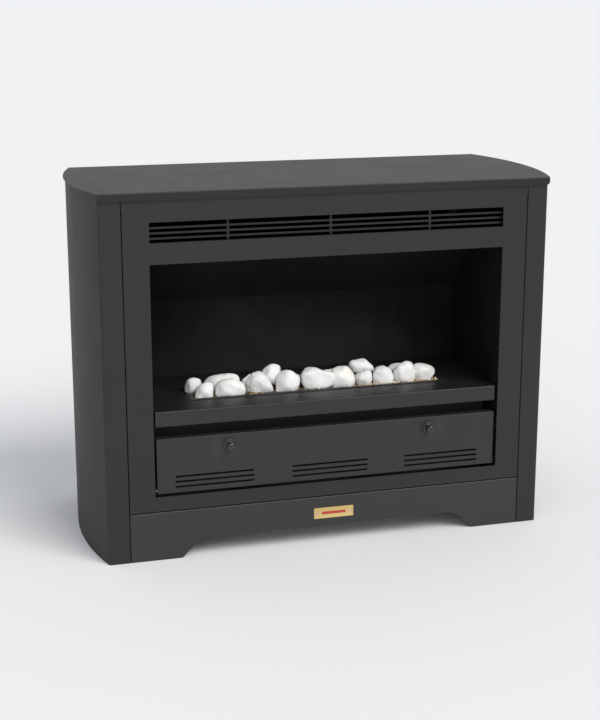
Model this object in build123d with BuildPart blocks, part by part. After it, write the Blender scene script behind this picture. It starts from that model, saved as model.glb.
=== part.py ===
from build123d import *
import math
import os

# Freestanding gas fireplace: a bowed sheet-steel cabinet with a window over a
# pebble burner, and a drop-down flap over the gas controls.
# Origin: middle of the footprint, on the floor. X right, Y back, Z up, millimetres.
# Depths are counted backwards from the front plane of the cabinet.

# Cabinet
body_width = 800.0
body_depth = 356.0
overall_height = 647.0
side_bulge = 27.0
sheet = 1.5
seam = 0.8
stile_width = 37.2
stile_return = 20.0
panel_return = 15.0
top_rail_height = 27.0
top_rail_leg = 24.0
top_rail_end_gap = 2.0
bend_radius = 1.8
side_fold_radius = 6.0
rear_flange_width = 25.0
touch_gap = 0.3

# Top plate
top_sheet = 2.0
top_front_overhang = 4.0
top_back_overhang = 5.0
top_corner_overhang = 2.0
top_side_overhang = 3.5
lip_height = 14.2
lip_bend_radius = 2.5
lip_corner_radius = 6.0

# Front surround
window_width = 633.8
window_bottom = 115.9
window_drop = 122.2
slot_width = 632.8
slot_drop = 51.0
slot_height = 35.0

# Grille behind the slot
grille_recess = 8.0
grille_sheet = 1.2
grille_bar = 3.4
grille_bar_pitch = 9.0
grille_first_bar = 6.5
grille_low_overlap = 0.5
grille_high_overlap = 1.0
grille_bars = 3
grille_divider = 4.0
grille_divider_x = 181.0
grille_end_overlap = 6.0
grille_margin = 8.0
grille_flange = 9.0

# Plinth
plinth_height = 87.7
arch_width = 543.0
arch_height = 33.0
arch_radius = 38.0
badge_width = 73.6
badge_height = 20.0
badge_thickness = 1.0
badge_x = 5.4
badge_z = 57.0
badge_corner = 0.8
badge_rivet_inset = 5.0
rivet_radius = 1.2
rivet_head_radius = 1.8
rivet_head = 0.7
rivet_tail = 1.5

# Inner box
base_height = 70.0
base_apron = 10.0
base_apron_end_gap = 3.0
liner_gap = 636.0
firebox_depth = 228.0
firebox_roof_rise = 15.2
lean_height = 128.0
lean_angle = 37.6
lean_bend_radius = 4.0
lean_flange_gap = 10.0
inner_flange = 12.0
roof_overlap = 20.0
shield_depth = 300.0
shield_drop = 50.0
shield_width = 660.0
baffle_drop = 33.0
baffle_flat_depth = 200.0
baffle_front_rise = 3.0
baffle_back_drop = 10.0
baffle_tail_drop = 24.0
baffle_bend_radius = 1.6
outlet_length = 88.0
outlet_height = 12.0
outlet_gap = 12.0
outlet_depth = 42.0
outlet_count = 6
clip_half_height = 18.0
clip_depth = 22.0
clip_width = 16.0

# Rear panel
rear_panel_side_gap = 8.0
rear_panel_low = 6.0
rear_panel_top_gap = 1.0
vent_length = 60.0
vent_height = 5.0
vent_pitch = 90.0
vent_row_pitch = 14.0
vent_rows = 4
upper_vent_drop = 87.0
upper_vents = 7
lower_vent_x = -60.0
lower_vent_z = 150.0
lower_vents = 4
inlet_hole_gap = 7.5

# Burner shelf and burner
deck_top = 267.6
shelf_lip_recess = 5.0
shelf_lip_height = 27.6
shelf_lip_width = 626.0
shelf_lip_return = 12.0
shelf_wall_gap = 0.4
shelf_back_fold = 14.0
shelf_rail_gap = 7.0
shelf_rail_leg = 8.0
shelf_rail_foot = 14.0
shelf_rail_back_gap = 14.0
pan_width = 467.2
pan_front = 66.4
pan_depth = 65.2
pan_drop = 36.8
pan_sheet = 1.2
pan_flange = 6.4
pan_gap = 0.4
port_height = 254.0
port_radius = 1.5
port_pitch = 20.0
bed_top = 266.0
mixer_radius = 9.0
mixer_wall = 1.0
mixer_height = 243.0
mixer_inner_reach = 13.0
mixer_outer_reach = 52.0
bell_length = 9.0
bell_radius = 13.0
injector_radius = 6.0
injector_length = 18.0
injector_neck_radius = 4.0
injector_neck = 3.0
injector_tip_radius = 2.2
injector_tip = 4.0
injector_bore_radius = 0.6
injector_standoff = 8.0
injector_elbow = 15.0
injector_bracket_half = 14.0
injector_bracket_drop = 18.0
fit_gap = 0.05

# Flap over the controls
flap_width = 625.0
flap_bottom = 119.5
flap_top = 219.0
flap_recess = 4.0
flap_return = 15.0
flap_bottom_return = 12.0
hinge_back = 5.0
hinge_up = 5.0
hinge_pin_radius = 2.5
hinge_pin_length = 5.6
hinge_pin_head = 1.5
hinge_pin_head_step = 0.9
hinge_ear_gap = 2.8
hinge_ear_front = 5.0
hinge_web_depth = 20.0
hinge_foot_depth = 38.0
hinge_ear_below = 1.0
hinge_ear_above = 14.0
louvre_length = 140.0
louvre_height = 3.5
louvre_pitch = 9.3
louvre_low = 130.4
louvre_rows = 3
louvre_spacing = 210.0
pull_x = 184.0
pull_z = 199.5
keeper_width = 15.0
keeper_height = 14.0
keeper_z = 205.0
magnet_width = 24.0
magnet_depth = 14.0

# Pull knobs
pull_reach = 20.0
pull_head_radius = 8.6
pull_neck_radius = 5.5
pull_base_radius = 10.5
pull_base_thickness = 2.5
pull_head_length = 10.0
pull_dimple_radius = 3.0
pull_dimple_depth = 0.9
pull_screw_radius = 2.0
pull_screw_length = 10.0
pull_bore = 11.0
pull_base_round = 1.0
pull_back_round = 2.0
pull_front_round = 3.0

# Gas controls
panel_depth = 70.0
panel_top = 228.0
panel_vent_x = -120.0
panel_vent_length = 70.0
panel_vent_height = 6.0
panel_vent_pitch = 90.0
panel_vent_row_pitch = 18.0
panel_vents = 4
valve_x = 215.0
valve_z = 166.0
valve_width = 50.0
valve_height = 44.0
valve_length = 46.0
valve_corner = 5.0
valve_port_radius = 9.0
valve_port = 10.0
spindle_radius = 4.0
spindle_slip = 0.2
spindle_hole_gap = 2.0
rotor_radius = 9.0
rotor_length = 16.0
rotor_setback = 8.0
rotor_end_gap = 1.0
rotor_floor = 2.0
knob_radius = 20.0
knob_grip_radius = 14.0
knob_skirt = 4.0
knob_length = 22.0
knob_bore = 12.0
knob_round = 1.2
grip_bar_half = 4.0
grip_bar_setback = 1.5
push_travel = 5.0
knob_standoff = 6.0
dial_width = 62.0
dial_corner = 6.0
dial_thickness = 0.8
piezo_x = 150.0
piezo_radius = 9.0
piezo_length = 40.0
piezo_bezel_radius = 12.0
piezo_bezel = 2.0
piezo_button_radius = 5.8
piezo_button_reach = 8.0
piezo_travel = 6.0
piezo_plunger = 14.0
piezo_plunger_gap = 2.0
piezo_button_round = 1.0

# Pilot
pilot_x = 40.0
pilot_depth = 149.0
electrode_x = 27.0
electrode_depth = 152.0
probe_x = 14.0
probe_depth = 143.0
pilot_plate_height = 249.0
pilot_plate_left = 8.0
pilot_plate_right = 9.0
pilot_plate_back = 13.0
pilot_opening_gap = 1.0
pilot_opening_front = 1.5
pilot_opening_back = 11.0
pilot_radius = 4.5
pilot_foot_step = 1.5
pilot_foot = 10.0
pilot_body = 14.0
pilot_cap_step = 1.0
pilot_cap = 9.0
pilot_wall = 1.0
pilot_bore_start = 6.0
probe_radius = 2.5
probe_tail = 14.0
probe_tail_step = 1.2
probe_body = 18.0
probe_tip_step = 0.7
probe_tip = 12.0
electrode_tail = 12.0
electrode_tip_radius = 0.8
electrode_tip = 11.0

# Pipes and leads
supply_radius = 5.0
burner_pipe_radius = 4.0
pilot_pipe_radius = 2.0
pipe_wall = 0.8
probe_lead_radius = 1.2
spark_lead_radius = 1.5
pipe_hole_gap = 3.0
supply_rise = 44.0
supply_low_run = 62.0
supply_high_run = 38.0
supply_bends = [24.0, 18.0]
burner_outlet_offset = 12.0
burner_pipe_rise = 22.0
burner_pipe_fall = 4.0
burner_pipe_bends = [12.0, 12.0]
pilot_outlet_offset = 15.0
pilot_pipe_rise = 24.0
pilot_pipe_bends = [12.0, 12.0]
probe_outlet_offset = 6.0
probe_outlet_rise = 14.0
probe_lead_run = 24.0
probe_lead_rise = 40.0
probe_lead_bends = [20.0, 14.0]
spark_lead_run = 22.0
spark_lead_rise = 22.0
spark_lead_bends = [14.0, 16.0]
inlet_height = 112.0
inlet_radius = 10.5
inlet_length = 18.0
inlet_neck_step = 2.5
inlet_tail = 14.0
inlet_hex_half = 13.5
inlet_hex = 4.0
inlet_plate_setback = 26.0
inlet_plate_half = 24.0
inlet_plate_rise = 20.0
inlet_plate_foot = 14.0

# Fasteners
screw_radius = 1.95
screw_head_radius = 4.0
screw_head = 2.2
screw_length = 10.0
liner_screw_length = 8.0
rear_screw_low = 30.0
rear_screw_drop = 47.0
rear_screw_gaps = 3
plinth_screw_height = 40.0
seam_screw_low = 130.0
liner_screw_low = 190.0
liner_screw_drop = 54.0
liner_screw_depth = 12.0
stud_radius = 2.5
stud_length = 11.0
stud_spacing = 300.0
stud_front_depth = 15.0
stud_back_gap = 13.0
nut_half = 4.0
nut_height = 4.0

# Pebbles: middle across, depth, then width, depth and height of each stone
pebbles_by_place = [
    (-220.5, 112.0, 33.0, 27.0, 33.0),
    (-212.5, 81.0, 32.0, 27.0, 32.0),
    (-169.5, 115.0, 64.0, 25.0, 31.0),
    (-165.5, 84.0, 58.0, 32.0, 34.0),
    (-127.5, 117.0, 18.0, 18.0, 16.0),
    (-110.0, 93.0, 50.0, 34.0, 40.0),
    (-79.0, 118.0, 36.0, 22.0, 42.0),
    (-60.0, 87.0, 44.0, 34.0, 42.0),
    (-28.0, 117.0, 26.0, 20.0, 20.0),
    (-2.0, 91.0, 62.0, 38.0, 43.0),
    (32.0, 119.0, 28.0, 18.0, 24.0),
    (51.0, 90.0, 42.0, 34.0, 41.0),
    (93.0, 118.0, 50.0, 22.0, 41.0),
    (88.0, 91.0, 30.0, 28.0, 29.0),
    (124.0, 89.0, 39.0, 32.0, 34.0),
    (133.0, 117.0, 24.0, 20.0, 20.0),
    (165.0, 90.0, 38.0, 34.0, 44.0),
    (158.0, 118.0, 26.0, 20.0, 26.0),
    (205.0, 91.0, 40.0, 36.0, 33.0),
]
pebble_flat = 1.2

# Worked-out places
half_width = body_width / 2
body_top = overall_height - top_sheet
fascia_half = half_width - stile_width - seam
fascia_bottom = plinth_height + seam
window_half = window_width / 2
window_top = overall_height - window_drop
slot_top = overall_height - slot_drop
slot_bottom = slot_top - slot_height
liner_half = liner_gap / 2
base_top = base_height + sheet
firebox_top = window_top + firebox_roof_rise
lean_start = firebox_top - lean_height
shield_top = overall_height - shield_drop
baffle_height = overall_height - baffle_drop
deck_under = deck_top - sheet
side_radius = ((body_depth / 2) ** 2 + side_bulge**2) / (2 * side_bulge)
side_centre = half_width + side_bulge - side_radius
flap_half = flap_width / 2
flap_skin_back = flap_recess + sheet
hinge_depth = flap_recess + hinge_back
hinge_height = flap_bottom + hinge_up
pan_half = pan_width / 2
pan_back = pan_front + pan_depth
pan_floor = deck_top - pan_drop
rail_leg_low = body_top - top_rail_height
inlet_plate_depth = body_depth - inlet_plate_setback
supply_height = inlet_height + supply_rise
front_reach = flap_recess - pull_reach
back_reach = body_depth + top_back_overhang
front_y = -(front_reach + back_reach) / 2


def at_depth(depth):
    """Y of a place, from its depth behind the front plane."""
    return front_y + depth


def side_x(depth, inset=0.0):
    """Half width of the bowed side at a depth, measured inset from its face."""
    return side_centre + math.sqrt((side_radius - inset) ** 2 - (depth - body_depth / 2) ** 2)


def block(x_low, x_high, d_low, d_high, z_low, z_high, mode=Mode.ADD):
    """A box from its low and high sides, in the part being built."""
    middle = ((x_low + x_high) / 2, at_depth((d_low + d_high) / 2), (z_low + z_high) / 2)
    with Locations(middle):
        Box(x_high - x_low, d_high - d_low, z_high - z_low, mode=mode)


def stepped_rod(start, direction, steps, mode=Mode.ADD):
    """Round steps laid end to end from a start point, each a radius and a length."""
    plane = Plane(origin=start, z_dir=direction)
    for radius, length in steps:
        with Locations(plane):
            Cylinder(radius, length, align=(Align.CENTER, Align.CENTER, Align.MIN), mode=mode)
        plane = plane.offset(length)


def folded_sheet(points, radius, thickness, side, half_length):
    """A strip folded along X, from its section's points as depth and height."""
    with BuildPart() as strip:
        with BuildSketch(Plane.YZ) as section:
            with BuildLine():
                FilletPolyline(*[(at_depth(depth), height) for depth, height in points], radius=radius)
                offset(amount=thickness, side=side)
            make_face()
        extrude(amount=half_length, both=True)
    return strip


def pipe(points, bends, outer_radius, bore_radius=0.0):
    """A round pipe or lead with one bend radius for each corner of its route."""
    with BuildPart() as run:
        with BuildLine() as route:
            FilletPolyline(*[(x, at_depth(depth), z) for x, depth, z in points], radius=bends)
        with BuildSketch(Plane(origin=route.line @ 0, z_dir=route.line % 0)):
            Circle(outer_radius)
            if bore_radius:
                Circle(bore_radius, mode=Mode.SUBTRACT)
        sweep()
    ring = math.pi * (outer_radius**2 - bore_radius**2)
    length = route.wires()[0].length
    print("pipe", round(run.part.volume, 2), "against", round(ring * length, 2), "bends", bends)
    return run


def front_panel(half, height_low, height_high):
    """A flat front panel with a flange folded back along each side."""
    with BuildPart() as panel:
        with BuildSketch(Plane.XY.offset(height_low)) as section:
            with BuildLine():
                Polyline(
                    (-half, at_depth(panel_return)),
                    (-half, at_depth(0)),
                    (half, at_depth(0)),
                    (half, at_depth(panel_return)),
                    (half - sheet, at_depth(panel_return)),
                    (half - sheet, at_depth(sheet)),
                    (sheet - half, at_depth(sheet)),
                    (sheet - half, at_depth(panel_return)),
                    close=True,
                )
            make_face()
            for x in (-half, half):
                corner = section.vertices().sort_by_distance((x, at_depth(0)))[0]
                fillet(corner, bend_radius)
        extrude(amount=height_high - height_low)
    return panel


# Places shared by holes and the fasteners in them
seam_screw_middle = (seam_screw_low + firebox_top) / 2
seam_screw_heights = (plinth_screw_height, seam_screw_low, seam_screw_middle, firebox_top)
rear_screw_pitch = (overall_height - rear_screw_drop - rear_screw_low) / rear_screw_gaps
rear_screw_heights = [rear_screw_low + row * rear_screw_pitch for row in range(rear_screw_gaps + 1)]
liner_screw_high = firebox_top - liner_screw_drop
liner_screw_heights = (liner_screw_low, (liner_screw_low + liner_screw_high) / 2, liner_screw_high)
rear_screw_x = half_width - rear_flange_width / 2
front_stud_depth = stud_front_depth
rear_stud_depth = body_depth - 2 * sheet - stud_back_gap
stud_xs = (-stud_spacing, 0.0, stud_spacing)


# Side panels: one sheet each, folded from the front stile round the bowed side
with BuildPart() as right_side_panel:
    with BuildSketch() as side_section:
        with BuildLine():
            Line(
                (half_width - stile_width, at_depth(stile_return)),
                (half_width - stile_width, at_depth(0)),
            )
            Line((half_width - stile_width, at_depth(0)), (half_width, at_depth(0)))
            ThreePointArc(
                (half_width, at_depth(0)),
                (half_width + side_bulge, at_depth(body_depth / 2)),
                (half_width, at_depth(body_depth)),
            )
            Line(
                (half_width, at_depth(body_depth)),
                (half_width - rear_flange_width, at_depth(body_depth)),
            )
            offset(amount=sheet, side=Side.LEFT)
        make_face()
        stile_corner = (half_width - stile_width, at_depth(0))
        fillet(side_section.vertices().sort_by_distance(stile_corner)[0], bend_radius)
        side_corner = (half_width, at_depth(0))
        fillet(side_section.vertices().sort_by_distance(side_corner)[0], side_fold_radius)
    extrude(amount=body_top)
    # The stile's flange stops below the rail under the top plate
    block(
        half_width - stile_width - seam,
        half_width - stile_width + sheet + seam / 2,
        sheet,
        stile_return + sheet,
        rail_leg_low - sheet,
        body_top,
        mode=Mode.SUBTRACT,
    )
    for height in seam_screw_heights:
        stepped_rod(
            (fascia_half - sheet, at_depth(panel_return / 2), height),
            (1, 0, 0),
            [(screw_radius + fit_gap, 2 * sheet + 2 * seam)],
            mode=Mode.SUBTRACT,
        )
    for height in rear_screw_heights:
        stepped_rod(
            (rear_screw_x, at_depth(body_depth - 2 * sheet), height),
            (0, 1, 0),
            [(screw_radius + fit_gap, 3 * sheet)],
            mode=Mode.SUBTRACT,
        )

with BuildPart() as left_side_panel:
    mirror(right_side_panel.part, about=Plane.YZ)

# Rails under the top plate, between the two sides
rail_half = side_x(sheet, sheet) - top_rail_end_gap
with BuildPart() as front_top_rail:
    block(-rail_half, rail_half, sheet, 2 * sheet, rail_leg_low, body_top)
    block(-rail_half, rail_half, sheet, top_rail_leg, body_top - sheet, body_top)
    for x in stud_xs:
        stepped_rod(
            (x, at_depth(front_stud_depth), body_top - 2 * sheet),
            (0, 0, 1),
            [(stud_radius + fit_gap, 3 * sheet)],
            mode=Mode.SUBTRACT,
        )

with BuildPart() as rear_top_rail:
    block(-rail_half, rail_half, body_depth - 2 * sheet, body_depth - sheet, rail_leg_low, body_top)
    block(
        -rail_half,
        rail_half,
        body_depth - 2 * sheet - top_rail_leg,
        body_depth - sheet,
        body_top - sheet,
        body_top,
    )
    for x in stud_xs:
        stepped_rod(
            (x, at_depth(rear_stud_depth), body_top - 2 * sheet),
            (0, 0, 1),
            [(stud_radius + fit_gap, 3 * sheet)],
            mode=Mode.SUBTRACT,
        )
    for height in rear_screw_heights:
        for x in (-rear_screw_x, rear_screw_x):
            stepped_rod(
                (x, at_depth(body_depth - 3 * sheet), height),
                (0, 1, 0),
                [(screw_radius + fit_gap, 3 * sheet)],
                mode=Mode.SUBTRACT,
            )

# Top plate: bowed ends, a lip folded down along the front, studs welded below
with BuildPart() as top_plate:
    top_corner = half_width + top_corner_overhang
    top_middle = half_width + side_bulge + top_side_overhang
    bend_back = lip_bend_radius - top_front_overhang
    with BuildSketch(Plane.YZ):
        with BuildLine():
            FilletPolyline(
                (at_depth(bend_back), overall_height),
                (at_depth(-top_front_overhang), overall_height),
                (at_depth(-top_front_overhang), overall_height - lip_height),
                radius=lip_bend_radius - touch_gap / 10,
            )
            offset(amount=top_sheet, side=Side.LEFT)
        make_face()
    extrude(amount=top_corner, both=True)
    low_edges = top_plate.edges().filter_by(Axis.Y).group_by(Axis.Z)[0]
    fillet(low_edges, lip_corner_radius)
    with BuildSketch(Plane.XY.offset(body_top)):
        with BuildLine():
            Line((-top_corner, at_depth(bend_back)), (top_corner, at_depth(bend_back)))
            ThreePointArc(
                (top_corner, at_depth(bend_back)),
                (top_middle, at_depth((back_reach - top_front_overhang) / 2)),
                (top_corner, at_depth(back_reach)),
            )
            Line((top_corner, at_depth(back_reach)), (-top_corner, at_depth(back_reach)))
            ThreePointArc(
                (-top_corner, at_depth(back_reach)),
                (-top_middle, at_depth((back_reach - top_front_overhang) / 2)),
                (-top_corner, at_depth(bend_back)),
            )
        make_face()
    extrude(amount=top_sheet)
    for depth in (front_stud_depth, rear_stud_depth):
        for x in stud_xs:
            stepped_rod((x, at_depth(depth), body_top), (0, 0, -1), [(stud_radius, stud_length)])

with BuildPart() as top_plate_nuts:
    for depth in (front_stud_depth, rear_stud_depth):
        for x in stud_xs:
            with BuildSketch(Plane(origin=(x, at_depth(depth), body_top - sheet), z_dir=(0, 0, -1))):
                RegularPolygon(nut_half, 6, major_radius=False)
                Circle(stud_radius + fit_gap, mode=Mode.SUBTRACT)
            extrude(amount=nut_height)

# Front surround with the window and the slot for the grille
front_fascia = front_panel(fascia_half, fascia_bottom, rail_leg_low - sheet)
with front_fascia:
    # Above the side flanges the panel runs up flat to the top plate
    block(-fascia_half, fascia_half, 0, sheet, rail_leg_low - sheet, body_top)
    block(
        sheet - fascia_half,
        fascia_half - sheet,
        0,
        panel_return,
        fascia_bottom,
        fascia_bottom + sheet,
    )
    block(-window_half, window_half, -1, sheet + 1, window_bottom, window_top, mode=Mode.SUBTRACT)
    block(-slot_width / 2, slot_width / 2, -1, sheet + 1, slot_bottom, slot_top, mode=Mode.SUBTRACT)
    for height in seam_screw_heights[1:]:
        for x in (-fascia_half, fascia_half):
            stepped_rod(
                (x - 2 * sheet, at_depth(panel_return / 2), height),
                (1, 0, 0),
                [(screw_radius + fit_gap, 4 * sheet)],
                mode=Mode.SUBTRACT,
            )

# Grille: a shallow hat-shaped insert whose rims sit on the back of the surround
grille_low = slot_bottom - grille_margin
grille_high = slot_top + grille_margin
grille_half = slot_width / 2 + grille_margin
bay_end = slot_width / 2 + grille_end_overlap
divider_inner = grille_divider_x - grille_divider / 2
divider_outer = grille_divider_x + grille_divider / 2
bays = [
    (-bay_end, -divider_outer),
    (-divider_inner, -grille_divider / 2),
    (grille_divider / 2, divider_inner),
    (divider_outer, bay_end),
]
with BuildPart() as top_grille:
    block(-grille_half, grille_half, grille_recess, grille_recess + grille_sheet, grille_low, grille_high)
    for low in (grille_low, grille_high - grille_sheet):
        block(-grille_half, grille_half, sheet, grille_recess, low, low + grille_sheet)
    block(
        -grille_half,
        grille_half,
        sheet,
        sheet + grille_sheet,
        grille_low - grille_flange,
        grille_low + grille_sheet,
    )
    block(
        -grille_half,
        grille_half,
        sheet,
        sheet + grille_sheet,
        grille_high - grille_sheet,
        grille_high + grille_flange,
    )
    gap_edges = [slot_bottom - grille_low_overlap]
    for row in range(grille_bars):
        bar_middle = slot_bottom + grille_first_bar + row * grille_bar_pitch
        gap_edges += [bar_middle - grille_bar / 2, bar_middle + grille_bar / 2]
    gap_edges.append(slot_top + grille_high_overlap)
    for row in range(grille_bars + 1):
        for bay_low, bay_high in bays:
            block(
                bay_low,
                bay_high,
                grille_recess - 1,
                grille_recess + grille_sheet + 1,
                gap_edges[2 * row],
                gap_edges[2 * row + 1],
                mode=Mode.SUBTRACT,
            )

# Plinth with its arched cut-out
plinth = front_panel(fascia_half, 0.0, plinth_height)
with plinth:
    block(
        sheet - fascia_half,
        fascia_half - sheet,
        0,
        panel_return,
        plinth_height - sheet,
        plinth_height,
    )
    top_edge = plinth.edges().filter_by(Axis.X).group_by(Axis.Z)[-1].sort_by(Axis.Y)[0]
    fillet(top_edge, bend_radius / 2)
    with BuildSketch(Plane.XZ.offset(-at_depth(0))) as arch:
        with BuildLine():
            Polyline(
                (-arch_width / 2, 0),
                (arch_height - arch_width / 2, arch_height),
                (arch_width / 2 - arch_height, arch_height),
                (arch_width / 2, 0),
                close=True,
            )
        make_face()
        fillet(arch.vertices().group_by(Axis.Y)[-1], arch_radius)
    extrude(arch.sketch, amount=sheet, both=True, mode=Mode.SUBTRACT)
    for side in (-1, 1):
        rivet_x = badge_x + side * (badge_width / 2 - badge_rivet_inset)
        stepped_rod(
            (rivet_x, at_depth(-sheet), badge_z),
            (0, 1, 0),
            [(rivet_radius + fit_gap, 3 * sheet)],
            mode=Mode.SUBTRACT,
        )
    for x in (-fascia_half, fascia_half):
        stepped_rod(
            (x - 2 * sheet, at_depth(panel_return / 2), seam_screw_heights[0]),
            (1, 0, 0),
            [(screw_radius + fit_gap, 4 * sheet)],
            mode=Mode.SUBTRACT,
        )

# Badge plate, blank, with two rivets
with BuildPart() as badge_plate:
    block(
        badge_x - badge_width / 2,
        badge_x + badge_width / 2,
        -badge_thickness,
        0,
        badge_z - badge_height / 2,
        badge_z + badge_height / 2,
    )
    fillet(badge_plate.edges().filter_by(Axis.Y), badge_corner)
    for side in (-1, 1):
        rivet_x = badge_x + side * (badge_width / 2 - badge_rivet_inset)
        stepped_rod(
            (rivet_x, at_depth(-2 * badge_thickness), badge_z),
            (0, 1, 0),
            [(rivet_radius + fit_gap, 3 * badge_thickness)],
            mode=Mode.SUBTRACT,
        )

with BuildPart() as badge_rivets:
    for side in (-1, 1):
        rivet_x = badge_x + side * (badge_width / 2 - badge_rivet_inset)
        stepped_rod(
            (rivet_x, at_depth(-badge_thickness - rivet_head), badge_z),
            (0, 1, 0),
            [(rivet_head_radius, rivet_head), (rivet_radius, badge_thickness + sheet + rivet_tail)],
        )

# Base plate between the sides, with an apron folded down at front and back
base_back = body_depth - sheet - touch_gap
with BuildPart() as base_plate:
    base_inset = sheet + touch_gap
    with BuildSketch(Plane.XY.offset(base_height)):
        with BuildLine():
            front_corner = side_x(2 * sheet, base_inset)
            back_corner = side_x(base_back, base_inset)
            middle_corner = side_x(body_depth / 2, base_inset)
            Line((-front_corner, at_depth(2 * sheet)), (front_corner, at_depth(2 * sheet)))
            ThreePointArc(
                (front_corner, at_depth(2 * sheet)),
                (middle_corner, at_depth(body_depth / 2)),
                (back_corner, at_depth(base_back)),
            )
            Line((back_corner, at_depth(base_back)), (-back_corner, at_depth(base_back)))
            ThreePointArc(
                (-back_corner, at_depth(base_back)),
                (-middle_corner, at_depth(body_depth / 2)),
                (-front_corner, at_depth(2 * sheet)),
            )
        make_face()
    extrude(amount=sheet)
    apron_half = fascia_half - 3 * sheet
    # Notches clear the flanges of the stiles and of the plinth
    for side in (-1, 1):
        notch = sorted((side * apron_half, side * (half_width + side_bulge)))
        block(*notch, 0, stile_return + sheet, base_height - 1, base_top + 1, mode=Mode.SUBTRACT)
    block(-apron_half, apron_half, sheet, 3 * sheet, base_height, base_top)
    block(-apron_half, apron_half, sheet, 2 * sheet, base_top - base_apron, base_top)
    rear_half = half_width - rear_flange_width - base_apron_end_gap
    block(-rear_half, rear_half, base_back - sheet, body_depth, base_height, base_top)
    block(-rear_half, rear_half, body_depth - sheet, body_depth, base_top - base_apron, base_top)

# Rear panel with its vents, screwed to the rear flanges of the sides
with BuildPart() as rear_panel:
    rear_panel_half = half_width - rear_panel_side_gap
    rear_panel_top = body_top - rear_panel_top_gap
    block(
        -rear_panel_half,
        rear_panel_half,
        body_depth,
        body_depth + sheet,
        rear_panel_low,
        rear_panel_top,
    )
    rear_face = Plane.XZ.offset(-at_depth(body_depth + 2 * sheet))
    with BuildSketch(rear_face):
        with Locations((0, overall_height - upper_vent_drop)):
            with GridLocations(vent_pitch, vent_row_pitch, upper_vents, vent_rows):
                SlotOverall(vent_length, vent_height)
        with Locations((lower_vent_x, lower_vent_z)):
            with GridLocations(vent_pitch, vent_row_pitch, lower_vents, vent_rows):
                SlotOverall(vent_length, vent_height)
        with Locations((valve_x, inlet_height)):
            Circle(inlet_radius + inlet_hole_gap)
    extrude(amount=3 * sheet, mode=Mode.SUBTRACT)
    for height in rear_screw_heights:
        for x in (-rear_screw_x, rear_screw_x):
            stepped_rod(
                (x, at_depth(body_depth - sheet), height),
                (0, 1, 0),
                [(screw_radius + fit_gap, 4 * sheet)],
                mode=Mode.SUBTRACT,
            )

with BuildPart() as rear_panel_screws:
    for height in rear_screw_heights:
        for x in (-rear_screw_x, rear_screw_x):
            stepped_rod(
                (x, at_depth(body_depth + sheet + screw_head), height),
                (0, -1, 0),
                [(screw_head_radius, screw_head), (screw_radius, screw_length)],
            )

with BuildPart() as front_panel_screws:
    for height in seam_screw_heights:
        for side in (-1, 1):
            stepped_rod(
                (side * (fascia_half - sheet - screw_head), at_depth(panel_return / 2), height),
                (side, 0, 0),
                [(screw_head_radius, screw_head), (screw_radius, screw_length)],
            )

# Liners: the two side walls of the firebox and of the control space below it
with BuildPart() as right_liner:
    liner_back = firebox_depth + sheet + inner_flange
    block(liner_half, liner_half + sheet, sheet, liner_back, base_top, firebox_top)
    block(liner_half, liner_half + sheet + inner_flange, 3 * sheet, liner_back, base_top, base_top + sheet)
    block(
        liner_half,
        liner_half + sheet + inner_flange,
        3 * sheet,
        liner_back,
        firebox_top - sheet,
        firebox_top,
    )
    # The front edge is notched round the flanges of the plinth and the surround
    block(
        liner_half - 1,
        liner_half + sheet + inner_flange + 1,
        0,
        panel_return + touch_gap,
        base_top - 1,
        fascia_bottom + sheet + touch_gap,
        mode=Mode.SUBTRACT,
    )
    for height in liner_screw_heights:
        stepped_rod(
            (liner_half - sheet, at_depth(liner_screw_depth), height),
            (1, 0, 0),
            [(screw_radius + fit_gap, 3 * sheet)],
            mode=Mode.SUBTRACT,
        )

with BuildPart() as left_liner:
    mirror(right_liner.part, about=Plane.YZ)

# Clips that hold the front edges of the liners to the back of the surround
with BuildPart() as liner_clips:
    for height in liner_screw_heights:
        clip_low = height - clip_half_height
        clip_high = height + clip_half_height
        for side in (-1, 1):
            on_liner = sorted((side * (liner_half + sheet), side * (liner_half + 2 * sheet)))
            on_front = sorted((side * (liner_half + sheet), side * (liner_half + sheet + clip_width)))
            block(*on_liner, sheet, clip_depth, clip_low, clip_high)
            block(*on_front, sheet, 2 * sheet, clip_low, clip_high)
            stepped_rod(
                (side * liner_half, at_depth(liner_screw_depth), height),
                (side, 0, 0),
                [(screw_radius + fit_gap, 4 * sheet)],
                mode=Mode.SUBTRACT,
            )

with BuildPart() as liner_screws:
    for height in liner_screw_heights:
        for side in (-1, 1):
            stepped_rod(
                (side * (liner_half - screw_head), at_depth(liner_screw_depth), height),
                (side, 0, 0),
                [(screw_head_radius, screw_head), (screw_radius, liner_screw_length)],
            )

# Firebox back: upright, then leaning forward to the roof
lean_depth = firebox_depth - (firebox_top - lean_start) * math.tan(math.radians(lean_angle))
firebox_back = folded_sheet(
    [(firebox_depth, base_top), (firebox_depth, lean_start), (lean_depth, firebox_top)],
    lean_bend_radius,
    sheet,
    Side.RIGHT,
    liner_half,
)
with firebox_back:
    block(
        -liner_half,
        liner_half,
        firebox_depth,
        firebox_depth + inner_flange,
        base_top,
        base_top + sheet,
    )
    for side in (-1, 1):
        flange = sorted((side * liner_half, side * (liner_half - sheet)))
        block(
            *flange,
            firebox_depth,
            firebox_depth + inner_flange,
            base_top,
            lean_start - lean_flange_gap,
        )
    block(-liner_half, liner_half, 0, body_depth, firebox_top, overall_height, mode=Mode.SUBTRACT)
    stepped_rod(
        (valve_x, at_depth(firebox_depth - sheet), inlet_height),
        (0, 1, 0),
        [(supply_radius + pipe_hole_gap, 4 * sheet)],
        mode=Mode.SUBTRACT,
    )

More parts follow.
